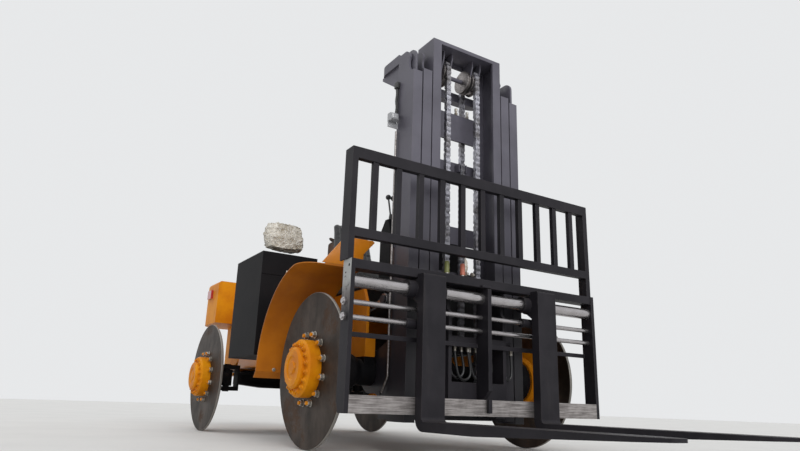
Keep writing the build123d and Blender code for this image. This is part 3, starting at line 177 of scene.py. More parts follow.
# Paints: two tones that drift over a panel, dust on what looks up, bare metal where edges are rubbed
paints = {
    "machineYellow": {
        "colour": (0.66, 0.225, 0.005), "deep": (0.52, 0.155, 0.004), "bare": (0.30, 0.22, 0.14),
        "dust": (0.40, 0.27, 0.15), "dusty": 0.16, "gloss": 0.36, "coat": 0.15, "shine": 0.35, "drift": 2.3,
        "edge": 0.003, "worn": 0.45, "peel": 0.05,
    },
    # painted shade: a darker copy of the machine yellow for the fenders, which stand in shade
    "shadedFenderYellow": {
        "colour": (0.46, 0.145, 0.005), "deep": (0.30, 0.085, 0.005), "bare": (0.26, 0.17, 0.10),
        "dust": (0.26, 0.16, 0.09), "dusty": 0.20, "gloss": 0.42, "coat": 0.08, "shine": 0.30, "drift": 1.9,
        "edge": 0.003, "worn": 0.45, "peel": 0.05,
    },
    "castYellow": {
        "colour": (0.70, 0.265, 0.002), "deep": (0.58, 0.180, 0.002), "bare": (0.34, 0.26, 0.18),
        "dust": (0.42, 0.26, 0.10), "dusty": 0.03, "gloss": 0.46, "coat": 0.0, "shine": 0.14, "drift": 7.0,
        "edge": 0.003, "worn": 0.30, "peel": 0.55,
    },
    "mastCharcoal": {
        "colour": (0.110, 0.105, 0.131), "deep": (0.083, 0.079, 0.099), "bare": (0.24, 0.23, 0.24),
        "dust": (0.17, 0.16, 0.16), "dusty": 0.35, "gloss": 0.44, "coat": 0.08, "shine": 0.30, "drift": 3.1,
        # the last entry darkens the paint from the ground up to a drifting line
        "edge": 0.0025, "worn": 0.45, "peel": 0.10, "darkBelow": (0.85, 1.45, (0.022, 0.020, 0.025)),
    },
    "carriageBlack": {
        "colour": (0.020, 0.018, 0.022), "deep": (0.012, 0.011, 0.014), "bare": (0.17, 0.16, 0.16),
        "dust": (0.08, 0.07, 0.065), "dusty": 0.40, "gloss": 0.50, "coat": 0.0, "shine": 0.16, "drift": 3.4,
        "edge": 0.003, "worn": 0.60, "peel": 0.14,
    },
    "satinBlack": {
        "colour": (0.009, 0.008, 0.009), "deep": (0.005, 0.005, 0.006), "bare": (0.10, 0.09, 0.09),
        "dust": (0.05, 0.044, 0.040), "dusty": 0.35, "gloss": 0.58, "coat": 0.0, "shine": 0.09, "drift": 3.7,
        "edge": 0.0025, "worn": 0.40, "peel": 0.10,
    },
    "engineGrey": {
        "colour": (0.13, 0.14, 0.14), "deep": (0.09, 0.09, 0.09), "bare": (0.24, 0.23, 0.22),
        "dust": (0.16, 0.14, 0.12), "dusty": 0.5, "gloss": 0.5, "coat": 0.0, "shine": 0.30, "drift": 6.0,
        "edge": 0.004, "worn": 0.4, "peel": 0.6,
    },
    "heatBlack": {
        "colour": (0.045, 0.038, 0.034), "deep": (0.075, 0.050, 0.038), "bare": (0.20, 0.12, 0.07),
        "dust": (0.17, 0.13, 0.10), "dusty": 0.4, "gloss": 0.68, "coat": 0.0, "shine": 0.20, "drift": 9.0,
        "edge": 0.003, "worn": 0.5, "peel": 0.25,
    },
}


def paintFinish(name, look, tread=False, inside=None):
    shade = Shade(name)
    x, y, z = shade.axes()
    drift = shade.noise(look["drift"], 5, 0.6)
    speck = shade.noise(look["drift"] * 34, 4, 0.7)
    runs = shade.noise(look["drift"] * 4, 4, 0.6, stretch=(1, 1, 0.12))  # rain streaks down the walls
    soft, edge = shade.edges(look["edge"])
    rubbed = shade.band(edge + (speck - 0.5) * 0.22, 0.16, 0.30) * look["worn"]
    settled = shade.band(shade.upward(), 0.35, 0.95) * shade.band(drift, 0.30, 0.70)
    dust = (settled * 0.8 + shade.band(runs, 0.56, 0.80) * 0.35) * look["dusty"]
    colour = shade.mix(shade.band(drift, 0.35, 0.68), look["colour"], look["deep"])
    if inside:  # the cross members between the rails are another colour
        colour = shade.mix(shade.band(abs(y), 0.444, 0.447), inside, colour)
    if "darkBelow" in look:  # darker from the ground up to a drifting line
        low, high, lowTone = look["darkBelow"]
        colour = shade.mix(shade.band(z + (drift - 0.5) * 0.5, low, high), lowTone, colour)
    colour = shade.mix(dust, colour, look["dust"])
    colour = shade.mix(rubbed, colour, look["bare"])
    skin = (shade.noise(130, 2, 0.5) + speck * 0.15) * look["peel"]
    if tread:
        across = shade.node("ShaderNodeMath", {"operation": "PINGPONG"}, {0: x + y, 1: 0.011})
        along = shade.node("ShaderNodeMath", {"operation": "PINGPONG"}, {0: x - y, 1: 0.017})
        lug = shade.band(across, 0.0072, 0.0088) * (1 - shade.band(along, 0.010, 0.012))
        skin = skin + lug * shade.band(shade.upward(), 0.7, 0.9) * 6
    return shade.surface(
        Base_Color=colour,
        Roughness=look["gloss"] + dust * 0.35 + (speck - 0.5) * 0.10,
        Metallic=rubbed * 0.8,
        Specular_IOR_Level=look["shine"],
        Coat_Weight=(1 - dust) * look["coat"],
        Coat_Roughness=0.12,
        Normal=shade.bump(skin, 0.35, 0.0015, soft),
    )


finishes = {name: paintFinish(name, look) for name, look in paints.items()}
finishes["treadPlate"] = paintFinish("treadPlate", paints["satinBlack"], tread=True)
innerBlack = (0.016, 0.015, 0.016)
finishes["chassisPaint"] = paintFinish("chassisPaint", paints["machineYellow"], inside=innerBlack)
print("paints mixed")


# Metals
metals = {
    "groundSteel": {
        "colour": (0.44, 0.41, 0.40), "dark": (0.16, 0.145, 0.14), "gloss": 0.32,
        "grain": (14, 0.6, 14), "patch": 0.35,
    },
    "chromeRod": {
        "colour": (0.50, 0.48, 0.49), "dark": (0.36, 0.34, 0.345), "gloss": 0.15,
        "grain": (30, 2, 30), "patch": 0.50,
    },
    "chainSteel": {
        "colour": (0.50, 0.50, 0.56), "dark": (0.16, 0.15, 0.15), "gloss": 0.30,
        "grain": (8, 8, 8), "patch": 0.70,
    },
    "zincPlate": {
        "colour": (0.52, 0.50, 0.46), "dark": (0.28, 0.25, 0.21), "gloss": 0.34,
        "grain": (6, 6, 6), "patch": 0.70,
    },
}


def metalFinish(name, look):
    shade = Shade(name)
    blotch = shade.noise(9, 5, 0.62)
    grain = shade.noise(12, 4, 0.65, stretch=look["grain"])
    soft, edge = shade.edges(0.002)
    patch = look["patch"]
    tone = shade.band(blotch * patch + grain * (1 - patch), 0.36, 0.66)
    colour = shade.mix(tone, look["dark"], look["colour"])
    colour = shade.mix(shade.band(edge, 0.15, 0.3) * 0.5, colour, look["colour"])
    return shade.surface(
        Base_Color=colour,
        Metallic=0.92,
        Roughness=look["gloss"] + (1 - tone) * 0.16 + (grain - 0.5) * 0.08,
        Normal=shade.bump(grain, 0.10, 0.0006, soft),
    )


finishes.update({name: metalFinish(name, look) for name, look in metals.items()})


def discFinish(name, centre):  # rolled plate: streaks from the hub outwards, rust haze, a bright cut rim
    shade = Shade(name)
    x, _, z = shade.axes()
    away, high = x - centre[0], z - centre[2]
    radius = (away * away + high * high) ** 0.5
    angle = shade.node("ShaderNodeMath", {"operation": "ARCTAN2"}, {0: high, 1: away})
    fan = shade.node("ShaderNodeCombineXYZ", None, {"X": angle * 1.3, "Y": radius * 2.4, "Z": 0.0})
    sockets = {"Vector": fan, "Scale": 2.1, "Detail": 5, "Roughness": 0.62}
    rays = shade.node("ShaderNodeTexNoise", None, sockets)
    fall = shade.noise(6, 4, 0.6, stretch=(1, 1, 0.15))
    haze = shade.noise(3.4, 6, 0.65)
    fine = shade.noise(60, 4, 0.7)
    tone = shade.band(rays * 0.30 + fall * 0.40 + haze * 0.30, 0.38, 0.66)
    colour = shade.mix(tone, (0.017, 0.012, 0.009), (0.070, 0.050, 0.038))
    rust = shade.band(haze + (fine - 0.5) * 0.3, 0.54, 0.70)
    colour = shade.mix(rust * 0.55, colour, (0.085, 0.040, 0.020))
    rim = shade.band(radius, 0.4455, 0.4485)
    colour = shade.mix(rim * 0.6, colour, (0.42, 0.40, 0.37))
    return shade.surface(
        Base_Color=colour,
        Metallic=0.55 - rust * 0.35,
        Specular_IOR_Level=0.25,
        Roughness=0.44 + rust * 0.3 + (1 - tone) * 0.10 - rim * 0.12,
        Normal=shade.bump(rays * 0.8 + fine * 0.12, 0.25, 0.004, shade.edges(0.002)[0]),
    )


axles = {"front": (0.375, 0, 0.45), "rear": (-1.825, 0, 0.45)}
for axle, centre in axles.items():
    finishes[f"{axle}DiscSteel"] = discFinish(f"{axle}DiscSteel", centre)


def carriageFinish():  # black paint, with the end plates' outer faces ground bare at the top
    look = paints["carriageBlack"]
    shade = Shade("carriagePaint")
    y, z = shade.axes()[1:]
    drift = shade.noise(look["drift"], 5, 0.6)
    speck = shade.noise(95, 4, 0.7)
    soft, edge = shade.edges(look["edge"])
    outer = shade.band(abs(y), 0.9190, 0.9196)
    bare = outer * shade.band(z + (drift - 0.5) * 0.10, 0.70, 0.80)
    scratch = shade.noise(26, 4, 0.7, stretch=(6, 1, 0.5))
    steel = shade.mix(shade.band(scratch, 0.35, 0.7), (0.12, 0.11, 0.11), (0.24, 0.22, 0.22))
    # lighter towards the top
    steel = shade.mix(shade.band(z + (scratch - 0.5) * 0.05, 0.80, 0.90) * 0.8, steel, (0.44, 0.45, 0.44))
    smudge = shade.band(shade.noise(30, 3, 0.6, shift=(0.4, 0, 0.3)), 0.63, 0.70)
    steel = shade.mix(smudge * 0.8, steel, (0.05, 0.045, 0.04))
    rubbed = shade.band(edge + (speck - 0.5) * 0.22, 0.16, 0.30) * look["worn"]
    dust = shade.band(shade.upward(), 0.35, 0.95) * shade.band(drift, 0.3, 0.7) * look["dusty"]
    colour = shade.mix(shade.band(drift, 0.35, 0.68), look["colour"], look["deep"])
    colour = shade.mix(dust, colour, look["dust"])
    colour = shade.mix(rubbed, colour, look["bare"])
    colour = shade.mix(bare, colour, steel)
    return shade.surface(
        Base_Color=colour,
        Metallic=rubbed * 0.6 + bare * 0.55,
        Roughness=look["gloss"] + dust * 0.3 + bare * 0.05,
        Specular_IOR_Level=look["shine"],
        Normal=shade.bump(speck * 0.4 + scratch * 0.6, 0.15, 0.001, soft),
    )


finishes["carriagePaint"] = carriageFinish()


# Rubber, plastic, vinyl, glass and film
def mouldedFinish(name, colour, gloss, grain, depth):
    shade = Shade(name)
    patch = shade.noise(11, 4, 0.6)
    fine = shade.noise(grain, 3, 0.6)
    dust = shade.band(shade.upward(), 0.3, 1.0) * shade.band(patch, 0.4, 0.7) * 0.35
    tint = shade.mix(patch * 0.5, colour, tuple(c * 1.9 for c in colour))
    return shade.surface(
        Base_Color=shade.mix(dust, tint, (0.16, 0.145, 0.13)),
        Roughness=gloss + dust * 0.3 + (fine - 0.5) * 0.12,
        Normal=shade.bump(fine, 0.5, depth, shade.edges(0.002)[0]),
    )


finishes["blackPlastic"] = mouldedFinish("blackPlastic", (0.020, 0.020, 0.021), 0.46, 420, 0.0006)
finishes["hoseRubber"] = mouldedFinish("hoseRubber", (0.013, 0.013, 0.014), 0.34, 260, 0.0004)
finishes["seatVinyl"] = mouldedFinish("seatVinyl", (0.017, 0.017, 0.018), 0.40, 300, 0.0012)


def lensFinish(name, colour, glow):
    shade = Shade(name)
    y, z = shade.axes()[1:]
    ribs = shade.node("ShaderNodeMath", {"operation": "PINGPONG"}, {0: y + z * 0.2, 1: 0.003})
    haze = shade.noise(40, 4, 0.6)
    return shade.surface(
        Base_Color=shade.mix(haze * 0.4, colour, tuple(c * glow for c in colour)),
        Roughness=0.08 + haze * 0.12,
        Coat_Weight=0.8,
        Coat_Roughness=0.05,
        Normal=shade.bump(ribs * 300 + haze * 0.1, 0.35, 0.0012),
    )


finishes["clearLens"] = lensFinish("clearLens", (0.34, 0.345, 0.36), 0.6)
finishes["redLens"] = lensFinish("redLens", (0.42, 0.012, 0.010), 0.6)


def filmFinish():  # milky stretch film: bright creases, a warmer tone where it lies double
    shade = Shade("stretchFilm")
    folds = shade.cells(34, (1, 1, 1.5))
    fine = shade.noise(55, 5, 0.7, distortion=0.6)
    layer = shade.noise(12, 4, 0.6)
    crease = 1 - shade.band(folds + (fine - 0.5) * 0.2, 0.02, 0.16)
    colour = shade.mix(shade.band(layer, 0.38, 0.64), (0.40, 0.35, 0.27), (0.64, 0.60, 0.52))
    colour = shade.mix(crease * 0.6, colour, (0.84, 0.81, 0.75))
    deep = shade.band(shade.noise(21, 4, 0.65, shift=(0.2, 0.5, 0.1)), 0.58, 0.70)
    colour = shade.mix(deep * 0.6, colour, (0.20, 0.17, 0.13))
    return shade.surface(
        Base_Color=colour,
        Roughness=0.22 + fine * 0.25,
        Coat_Weight=0.35,
        Coat_Roughness=0.16,
        Normal=shade.bump(crease + fine * 0.8, 0.75, 0.006),
    )


finishes["stretchFilm"] = filmFinish()
print("finishes ready:", len(finishes))


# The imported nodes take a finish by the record's slot, and a few by their own name
slotFinish = {
    "body_paint": "machineYellow", "weight_paint": "castYellow", "mast_paint": "mastCharcoal",
    "black_paint": "satinBlack", "dark_plate": "treadPlate", "engine_grey": "engineGrey",
    "disc_steel": "frontDiscSteel", "ground_steel": "groundSteel", "chrome_rod": "chromeRod",
    "chain_steel": "chainSteel", "exhaust_steel": "heatBlack", "black_plastic": "blackPlastic",
    "seat_cover": "seatVinyl", "hose_rubber": "hoseRubber", "lamp_glass": "clearLens",
    "lamp_red": "redLens", "film_wrap": "stretchFilm",
}
ownFinish = {
    "rearDiscSteel": "rear_disc_left rear_disc_right",
    "castYellow": "front_hub_left front_hub_right rear_hub_left rear_hub_right",
    "satinBlack": "front_axle rear_axle knuckle_left knuckle_right steering_column dash_cowl",
    "chassisPaint": "chassis_frame",
    # the fenders take the darker copy of the yellow, painted shade
    "shadedFenderYellow": "front_fender_left front_fender_right",
    "carriagePaint": "fork_frame",
    "carriageBlack": "fork_left fork_right positioner_left positioner_right "
                     "load_guard guard_bars carriage_back",
}
nodeFinish = {node: finish for finish, group in ownFinish.items() for node in group.split()}
for row in frame["record"]["subparts"]:
    finish = nodeFinish.get(row["node"], slotFinish[row["material_slot"]])
    nodes[row["node"]].data.materials.clear()
    nodes[row["node"]].data.materials.append(finishes[finish])
print("nodes finished:", len(nodes))


# Bench: the few moves that every piece is made with
def pick(piece):
    bpy.ops.object.select_all(action="DESELECT")
    piece.select_set(True)
    bpy.context.view_layer.objects.active = piece


class Editing:  # edit mode on one piece, with faces and edges chosen by their place
    def __init__(self, piece):
        self.piece = piece

    def __enter__(self):
        pick(self.piece)
        bpy.ops.object.mode_set(mode="EDIT")
        bpy.ops.mesh.select_all(action="DESELECT")
        return self

    def __exit__(self, *trouble):
        bpy.ops.object.mode_set(mode="OBJECT")

    def faces(self, test):
        bpy.ops.mesh.select_mode(type="FACE")
        mesh = bmesh.from_edit_mesh(self.piece.data)
        for face in mesh.faces:
            face.select_set(bool(test(face.calc_center_median(), face.normal)))
        bmesh.update_edit_mesh(self.piece.data)

    def edges(self, test):
        bpy.ops.mesh.select_mode(type="EDGE")
        mesh = bmesh.from_edit_mesh(self.piece.data)
        for edge in mesh.edges:
            start, end = (v.co for v in edge.verts)
            edge.select_set(bool(test((start + end) / 2, end - start)))
        bmesh.update_edit_mesh(self.piece.data)

    def points(self, test):
        bpy.ops.mesh.select_mode(type="VERT")
        mesh = bmesh.from_edit_mesh(self.piece.data)
        for point in mesh.verts:
            point.select_set(bool(test(point.co)))
        mesh.select_flush_mode()
        bmesh.update_edit_mesh(self.piece.data)

    def outward(self):  # all normals out of the closed shape
        bpy.ops.mesh.select_all(action="SELECT")
        bpy.ops.mesh.normals_make_consistent(inside=False)

    def drawn(self, run):  # the whole flat shape drawn out to a plate
        bpy.ops.mesh.select_all(action="SELECT")
        bpy.ops.mesh.extrude_region_move(TRANSFORM_OT_translate={"value": run})
        self.outward()


def named(name):  # the piece that the last operator made, unturned at the origin
    piece = bpy.context.object
    piece.name = name
    bpy.ops.object.transform_apply(location=True, rotation=True, scale=True)
    return piece


def stack(name, count, rings):  # a filled circle drawn up ring by ring: (radius, height) for each
    radius, height = rings[0]
    bpy.ops.mesh.primitive_circle_add(vertices=count, radius=radius, fill_type="NGON",
                                      location=(0, 0, height))
    piece = named(name)
    with Editing(piece) as edit:
        bpy.ops.mesh.select_all(action="SELECT")
        for nextRadius, nextHeight in rings[1:]:
            bpy.ops.mesh.extrude_region_move(TRANSFORM_OT_translate={"value": (0, 0, nextHeight - height)})
            scale = nextRadius / radius
            bpy.ops.transform.resize(value=(scale, scale, 1), center_override=(0, 0, nextHeight))
            radius, height = nextRadius, nextHeight
        edit.outward()
    return piece


def cube(name, low, high):
    middle = [(a + b) / 2 for a, b in zip(low, high)]
    bpy.ops.mesh.primitive_cube_add(size=1, location=middle, scale=[b - a for a, b in zip(low, high)])
    return named(name)


def modified(piece, kind, **settings):
    pick(piece)
    step = piece.modifiers.new(kind.lower(), kind)
    for name, value in settings.items():
        setattr(step, name, value)
    bpy.ops.object.modifier_apply(modifier=step.name)
    return piece


def copied(source, matrix):
    twin = source.copy()
    twin.data = source.data.copy()
    twin.data.transform(matrix)
    if matrix.determinant() < 0:
        twin.data.flip_normals()
    bpy.context.scene.collection.objects.link(twin)
    return twin


def placed(piece, matrix):  # moves the mesh itself, so the piece stays unturned at the origin
    piece.data.transform(matrix)
    return piece


def joined(name, pieces):
    bpy.ops.object.select_all(action="DESELECT")
    for piece in pieces:
        piece.select_set(True)
    bpy.context.view_layer.objects.active = pieces[0]
    if len(pieces) > 1:
        bpy.ops.object.join()
    pieces[0].name = name
    return pieces[0]


def spread(name, source, matrices):  # copies of one piece, each with its own mesh, as one piece
    pieces = [copied(source, matrix) for matrix in matrices]
    bpy.data.objects.remove(source)
    return joined(name, pieces)


def facing(place, direction, spin=0.0):  # where a piece modelled along +Z goes
    turn = Vector(direction).to_track_quat("Z", "Y").to_matrix().to_4x4()
    return Matrix.Translation(place) @ turn @ Matrix.Rotation(spin, 4, "Z")


def settled(piece, body, finish, slot, angle=40):
    piece.data.materials.clear()
    piece.data.materials.append(finishes[finish])
    pick(piece)
    bpy.ops.object.shade_smooth_by_angle(angle=math.radians(angle))
    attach(piece, body)


# Hoses of the carriage: the route's points, (y, z) at one x for each hose
hoses = {
    "radius": 0.008,
    "routes": (
        (0.812, ((-0.168, 0.620), (-0.168, 0.570), (-0.160, 0.518), (-0.149, 0.467), (-0.135, 0.440),
                 (-0.107, 0.426), (-0.076, 0.432), (-0.055, 0.454), (-0.051, 0.486), (-0.058, 0.530),
                 (-0.070, 0.575), (-0.070, 0.620))),
        (0.834, ((-0.136, 0.620), (-0.136, 0.568), (-0.126, 0.512), (-0.114, 0.455), (-0.100, 0.427),
                 (-0.072, 0.412), (-0.041, 0.419), (-0.021, 0.441), (-0.017, 0.474), (-0.025, 0.522),
                 (-0.038, 0.570), (-0.038, 0.620))),
        (0.812, ((-0.008, 0.620), (-0.008, 0.566), (0.000, 0.512), (0.013, 0.461), (0.027, 0.434),
                 (0.055, 0.420), (0.086, 0.426), (0.107, 0.448), (0.111, 0.480), (0.104, 0.526),
                 (0.091, 0.572), (0.091, 0.620))),
        (0.834, ((0.024, 0.620), (0.024, 0.572), (0.033, 0.522), (0.047, 0.475), (0.061, 0.448),
                 (0.089, 0.434), (0.120, 0.440), (0.141, 0.462), (0.145, 0.494), (0.139, 0.536),
                 (0.126, 0.578), (0.126, 0.620))),
        (0.835, ((0.240, 0.620), (0.240, 0.572), (0.242, 0.516), (0.245, 0.462), (0.255, 0.436),
                 (0.273, 0.426), (0.292, 0.435), (0.303, 0.458), (0.305, 0.504), (0.300, 0.562),
                 (0.300, 0.620))),
    ),
}


def curveAlong(name, points, radius):
    line = bpy.data.curves.new(name, "CURVE")
    line.dimensions = "3D"
    line.bevel_depth = radius
    line.bevel_resolution = 4
    line.resolution_u = 10
    line.use_fill_caps = True
    spline = line.splines.new("NURBS")
    spline.points.add(len(points) - 1)
    for point, place in zip(spline.points, points):
        point.co = (*place, 1)
    spline.order_u = 3
    spline.use_endpoint_u = True
    piece = bpy.data.objects.new(name, line)
    bpy.context.scene.collection.objects.link(piece)
    return piece


def splineLength(points):  # measured on the bare curve, as a mesh
    piece = curveAlong("measure", points, 0)
    mesh = bpy.data.meshes.new_from_object(piece)
    ends = [[mesh.vertices[number].co for number in edge.vertices] for edge in mesh.edges]
    length = sum((a - b).length for a, b in ends)
    bpy.data.objects.remove(piece)
    bpy.data.meshes.remove(mesh)
    return length


def makeHoses():
    ends = []
    for number, (x, route) in enumerate(hoses["routes"], 1):
        points = [(x, y, z) for y, z in route]
        hose = curveAlong(f"carriage_hose_{number}", points, hoses["radius"])
        hose.data.materials.append(finishes["hoseRubber"])
        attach(hose, "carriage")
        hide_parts("carriage_hoses")
        splineLength(points)
        ends += [points[0], points[-1]]
    return ends


hoseEnds = makeHoses()
print("hoses hung:", len(hoses["routes"]))


# Floor, soft lamps and sky
stage = {
    "floor": (0.74, 0.74, 0.73), "sky": (0.80, 0.81, 0.82), "fill": 0.50,
    "suns": {"key": (1.9, (-0.88, 0.12, -0.50)), "rim": (0.5, (0.3, 0.45, -0.8))}, "softness": 50,
}


def makeStage():
    bpy.ops.mesh.primitive_plane_add(size=60, location=(0, 0, 0))
    floor = named("floor")
    shade = Shade("paleFloor")
    scuff = shade.noise(1.3, 5, 0.6)
    pale = shade.mix(shade.band(scuff, 0.3, 0.7), stage["floor"], tuple(c * 0.95 for c in stage["floor"]))
    floor.data.materials.append(shade.surface(Base_Color=pale, Roughness=0.75))
    world = bpy.data.worlds.new("sky")
    bpy.context.scene.world = world
    world.use_nodes = True
    tree = world.node_tree
    plain = tree.nodes["Background"]
    plain.inputs["Color"].default_value = (1, 1, 1, 1)
    plain.inputs["Strength"].default_value = stage["fill"]
    seen = tree.nodes.new("ShaderNodeBackground")
    seen.inputs["Color"].default_value = (*stage["sky"], 1)
    path = tree.nodes.new("ShaderNodeLightPath")
    direct = tree.nodes.new("ShaderNodeMath")
    through = tree.nodes.new("ShaderNodeMath")
    direct.operation = through.operation = "MAXIMUM"
    chosen = tree.nodes.new("ShaderNodeMixShader")
    for source, target in (
        (path.outputs["Is Camera Ray"], direct.inputs[0]),
        (path.outputs["Is Glossy Ray"], direct.inputs[1]),
        (direct.outputs[0], through.inputs[0]),
        (path.outputs["Is Transmission Ray"], through.inputs[1]),
        (through.outputs[0], chosen.inputs[0]),
        (plain.outputs[0], chosen.inputs[1]),
        (seen.outputs[0], chosen.inputs[2]),
        (chosen.outputs[0], tree.nodes["World Output"].inputs["Surface"]),
    ):
        tree.links.new(source, target)
    for name, (strength, direction) in stage["suns"].items():
        lamp = bpy.data.lights.new(name, "SUN")
        lamp.energy = strength
        lamp.angle = math.radians(stage["softness"])
        holder = bpy.data.objects.new(name, lamp)
        holder.matrix_world = facing((0, 0, 6), tuple(-c for c in direction))
        bpy.context.scene.collection.objects.link(holder)
    bpy.context.scene.view_settings.view_transform = "Standard"


makeStage()


# Leaf chains: plates in pairs on pins, over the sheaves at the top of the inner stage
chain = {
    "pitch": 0.0381, "plateHalf": 0.0165, "plateThick": 0.0041, "plates": 8, "width": 0.038,
    "pinRadius": 0.0075, "side": 0.124, "sheave": (0.640, 2.490), "lineRadius": 0.085, "over": 6,
    "frontPairs": 29, "rearPairs": 24, "raisedShare": 0.43,
}


def chainLink():  # two pitches along +Z from the origin, plates across Y
    half, pitch = chain["plateHalf"], chain["pitch"]
    corner = math.pi / 12
    bpy.ops.mesh.primitive_circle_add(vertices=12, radius=half / math.cos(corner), fill_type="NGON",
                                      rotation=(math.pi / 2, 0, 0))
    plate = placed(named("plate"), Matrix.Rotation(corner, 4, "Y"))
    with Editing(plate) as edit:
        edit.points(lambda p: p.z > 0)
        bpy.ops.transform.translate(value=(0, 0, pitch))
        edit.edges(lambda middle, run: abs(run.z) > 0.6 * pitch)
        bpy.ops.mesh.subdivide(number_cuts=1)
        edit.points(lambda p: abs(p.z - pitch / 2) < 0.1 * pitch)
        bpy.ops.transform.resize(value=(0.80, 1, 1), center_override=(0, 0, pitch / 2))
        edit.drawn((0, chain["plateThick"], 0))
    step = chain["plateThick"] + 0.0003
    start = -step * chain["plates"] / 2
    reach, radius, ease = chain["width"] / 2, chain["pinRadius"], 0.0007
    pin = stack("pin", 12, [(radius - ease, -reach), (radius, 0.001 - reach), (radius, reach - 0.001),
                            (radius - ease, reach)])
    placed(pin, Matrix.Rotation(math.pi / 2, 4, "X"))
    rows = []
    for number in range(chain["plates"]):
        rows.append(copied(plate, Matrix.Translation((0, start + number * step, number % 2 * pitch))))
    rows += [copied(pin, Matrix.Translation((0, 0, height))) for height in (0, pitch)]
    bpy.data.objects.remove(plate)
    bpy.data.objects.remove(pin)
    return joined("link", rows)


def splitLink(link, odd):  # one pitch of the pair: its even or odd plates and the pin at its foot
    pitch = chain["pitch"]
    single = copied(link, Matrix.Identity(4))
    with Editing(single):
        mesh = bmesh.from_edit_mesh(single.data)
        for island in islandsOf(mesh):
            low, high = min(v.co.z for v in island), max(v.co.z for v in island)
            isPin = high - low < 0.4 * pitch
            place = odd if isPin else odd + 0.5
            keep = abs((low + high) / 2 - place * pitch) < 0.1 * pitch
            for point in island:
                point.select_set(not keep)
        mesh.select_flush(True)
        bmesh.update_edit_mesh(single.data)
        bpy.ops.mesh.delete(type="VERT")
    return placed(single, Matrix.Translation((0, 0, -odd * pitch)))


def islandsOf(mesh):
    unseen = set(mesh.verts)
    islands = []
    while unseen:
        queue = [unseen.pop()]
        island = list(queue)
        while queue:
            for edge in queue.pop().link_edges:
                for point in edge.verts:
                    if point in unseen:
                        unseen.remove(point)
                        queue.append(point)
                        island.append(point)
        islands.append(island)
    return islands


def makeChains():
    pitch, radius = chain["pitch"], chain["lineRadius"]
    sheaveX, sheaveZ = chain["sheave"]
    link = chainLink()
    singles = [splitLink(link, 0), splitLink(link, 1)]
    turn = 2 * math.asin(pitch / 2 / radius)
    first = (math.pi - chain["over"] * turn) / 2
    down = Vector((0, 0, -2 * pitch))

    def onSheave(angle, y):
        return Vector((sheaveX + radius * math.cos(angle), y, sheaveZ + radius * math.sin(angle)))

    def hanging(place, pairs):  # pairs of links one under the other, from this place down
        return modified(copied(link, Matrix.Translation(place + down)), "ARRAY", count=pairs,
                        use_relative_offset=False, use_constant_offset=True, constant_offset_displace=down)

    for side, sign in sides:
        y = sign * chain["side"]
        front = hanging(onSheave(first, y), chain["frontPairs"])
        front.name = f"chain_front_{side}"
        over = []
        for number in range(chain["over"]):
            start, end = (onSheave(first + step * turn, y) for step in (number, number + 1))
            lean = Matrix.Rotation(math.atan2(end.x - start.x, end.z - start.z), 4, "Y")
            over.append(copied(singles[number % 2], Matrix.Translation(start) @ lean))
        rear = hanging(onSheave(math.pi - first, y), chain["rearPairs"])
        back = joined(f"chain_rear_{side}", [rear, *over])
        for run in (front, back):
            settled(run, "inner_mast", "chainSteel", "chain_steel")
            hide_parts("lift_chains")
        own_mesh(front)
    for spare in (link, *singles):
        bpy.data.objects.remove(spare)


makeChains()
print("chains hung")


# Wheel nuts on the studs
wheels = {"studCircle": 0.200, "studs": 12, "face": 0.850, "nutRadius": 0.0185, "nutHeight": 0.019,
          "washerRadius": 0.0215, "washerHeight": 0.003}


def wheelNut():
    wide, thick = wheels["washerRadius"], wheels["washerHeight"]
    across, top = wheels["nutRadius"], wheels["washerHeight"] + wheels["nutHeight"]
    washer = stack("washer", 20, [(wide - 0.001, 0.0), (wide, 0.0006), (wide, thick - 0.0008),
                                  (wide - 0.001, thick)])
    nut = stack("nut", 6, [(across - 0.002, thick), (across, thick + 0.0012), (across, top - 0.0014),
                           (across - 0.0025, top)])
    return joined("nut", [washer, nut])


def roundWheel(centre, sign, face, circle, count, start, spin):  # places on a circle, all facing outwards
    places = []
    for number in range(count):
        angle = start + number * 2 * math.pi / count
        spot = (centre[0] + circle * math.cos(angle), sign * face, centre[2] + circle * math.sin(angle))
        places.append(facing(spot, (0, sign, 0), number * spin))
    return places


def makeWheelNuts():
    count = wheels["studs"]
    for axle, centre in axles.items():
        for side, sign in sides:
            start = 0 if sign > 0 else math.pi / count
            places = roundWheel(centre, sign, wheels["face"], wheels["studCircle"], count, start, 0.7)
            nuts = spread(f"{axle}_nuts_{side}", wheelNut(), places)
            settled(nuts, f"{axle}_wheel_{side}", "zincPlate", "ground_steel", 30)


makeWheelNuts()
print("wheel nuts on")


# Seat: two pads blown up under their covers, then sewn down along the panel seams
seat = {
    "cushionLow": (-0.778, -0.226, 1.1806), "cushionHigh": (-0.324, 0.226, 1.272),
    "backFoot": (-0.785, 1.300), "backTop": (-0.918, 1.748), "backHalf": 0.205, "backThick": 0.066,
    "cushionTop": (-0.56, 0, 1.27), "cushionTaper": (0.93, 0.92, 1), "frontDrop": (-0.01, 0, -0.012),
    "backTaper": (0.92, 0.80, 1), "backLean": 0.022,
    "voxel": 0.006, "pressure": 4.0, "frames": 20, "cap": 0.014,
    "cushionSeams": (-0.13, 0.13), "thighSeam": -0.50, "backSeams": (-0.11, 0.11), "waistSeam": 0.17,
    "seamWidth": 0.008, "seamDepth": 0.007,
}


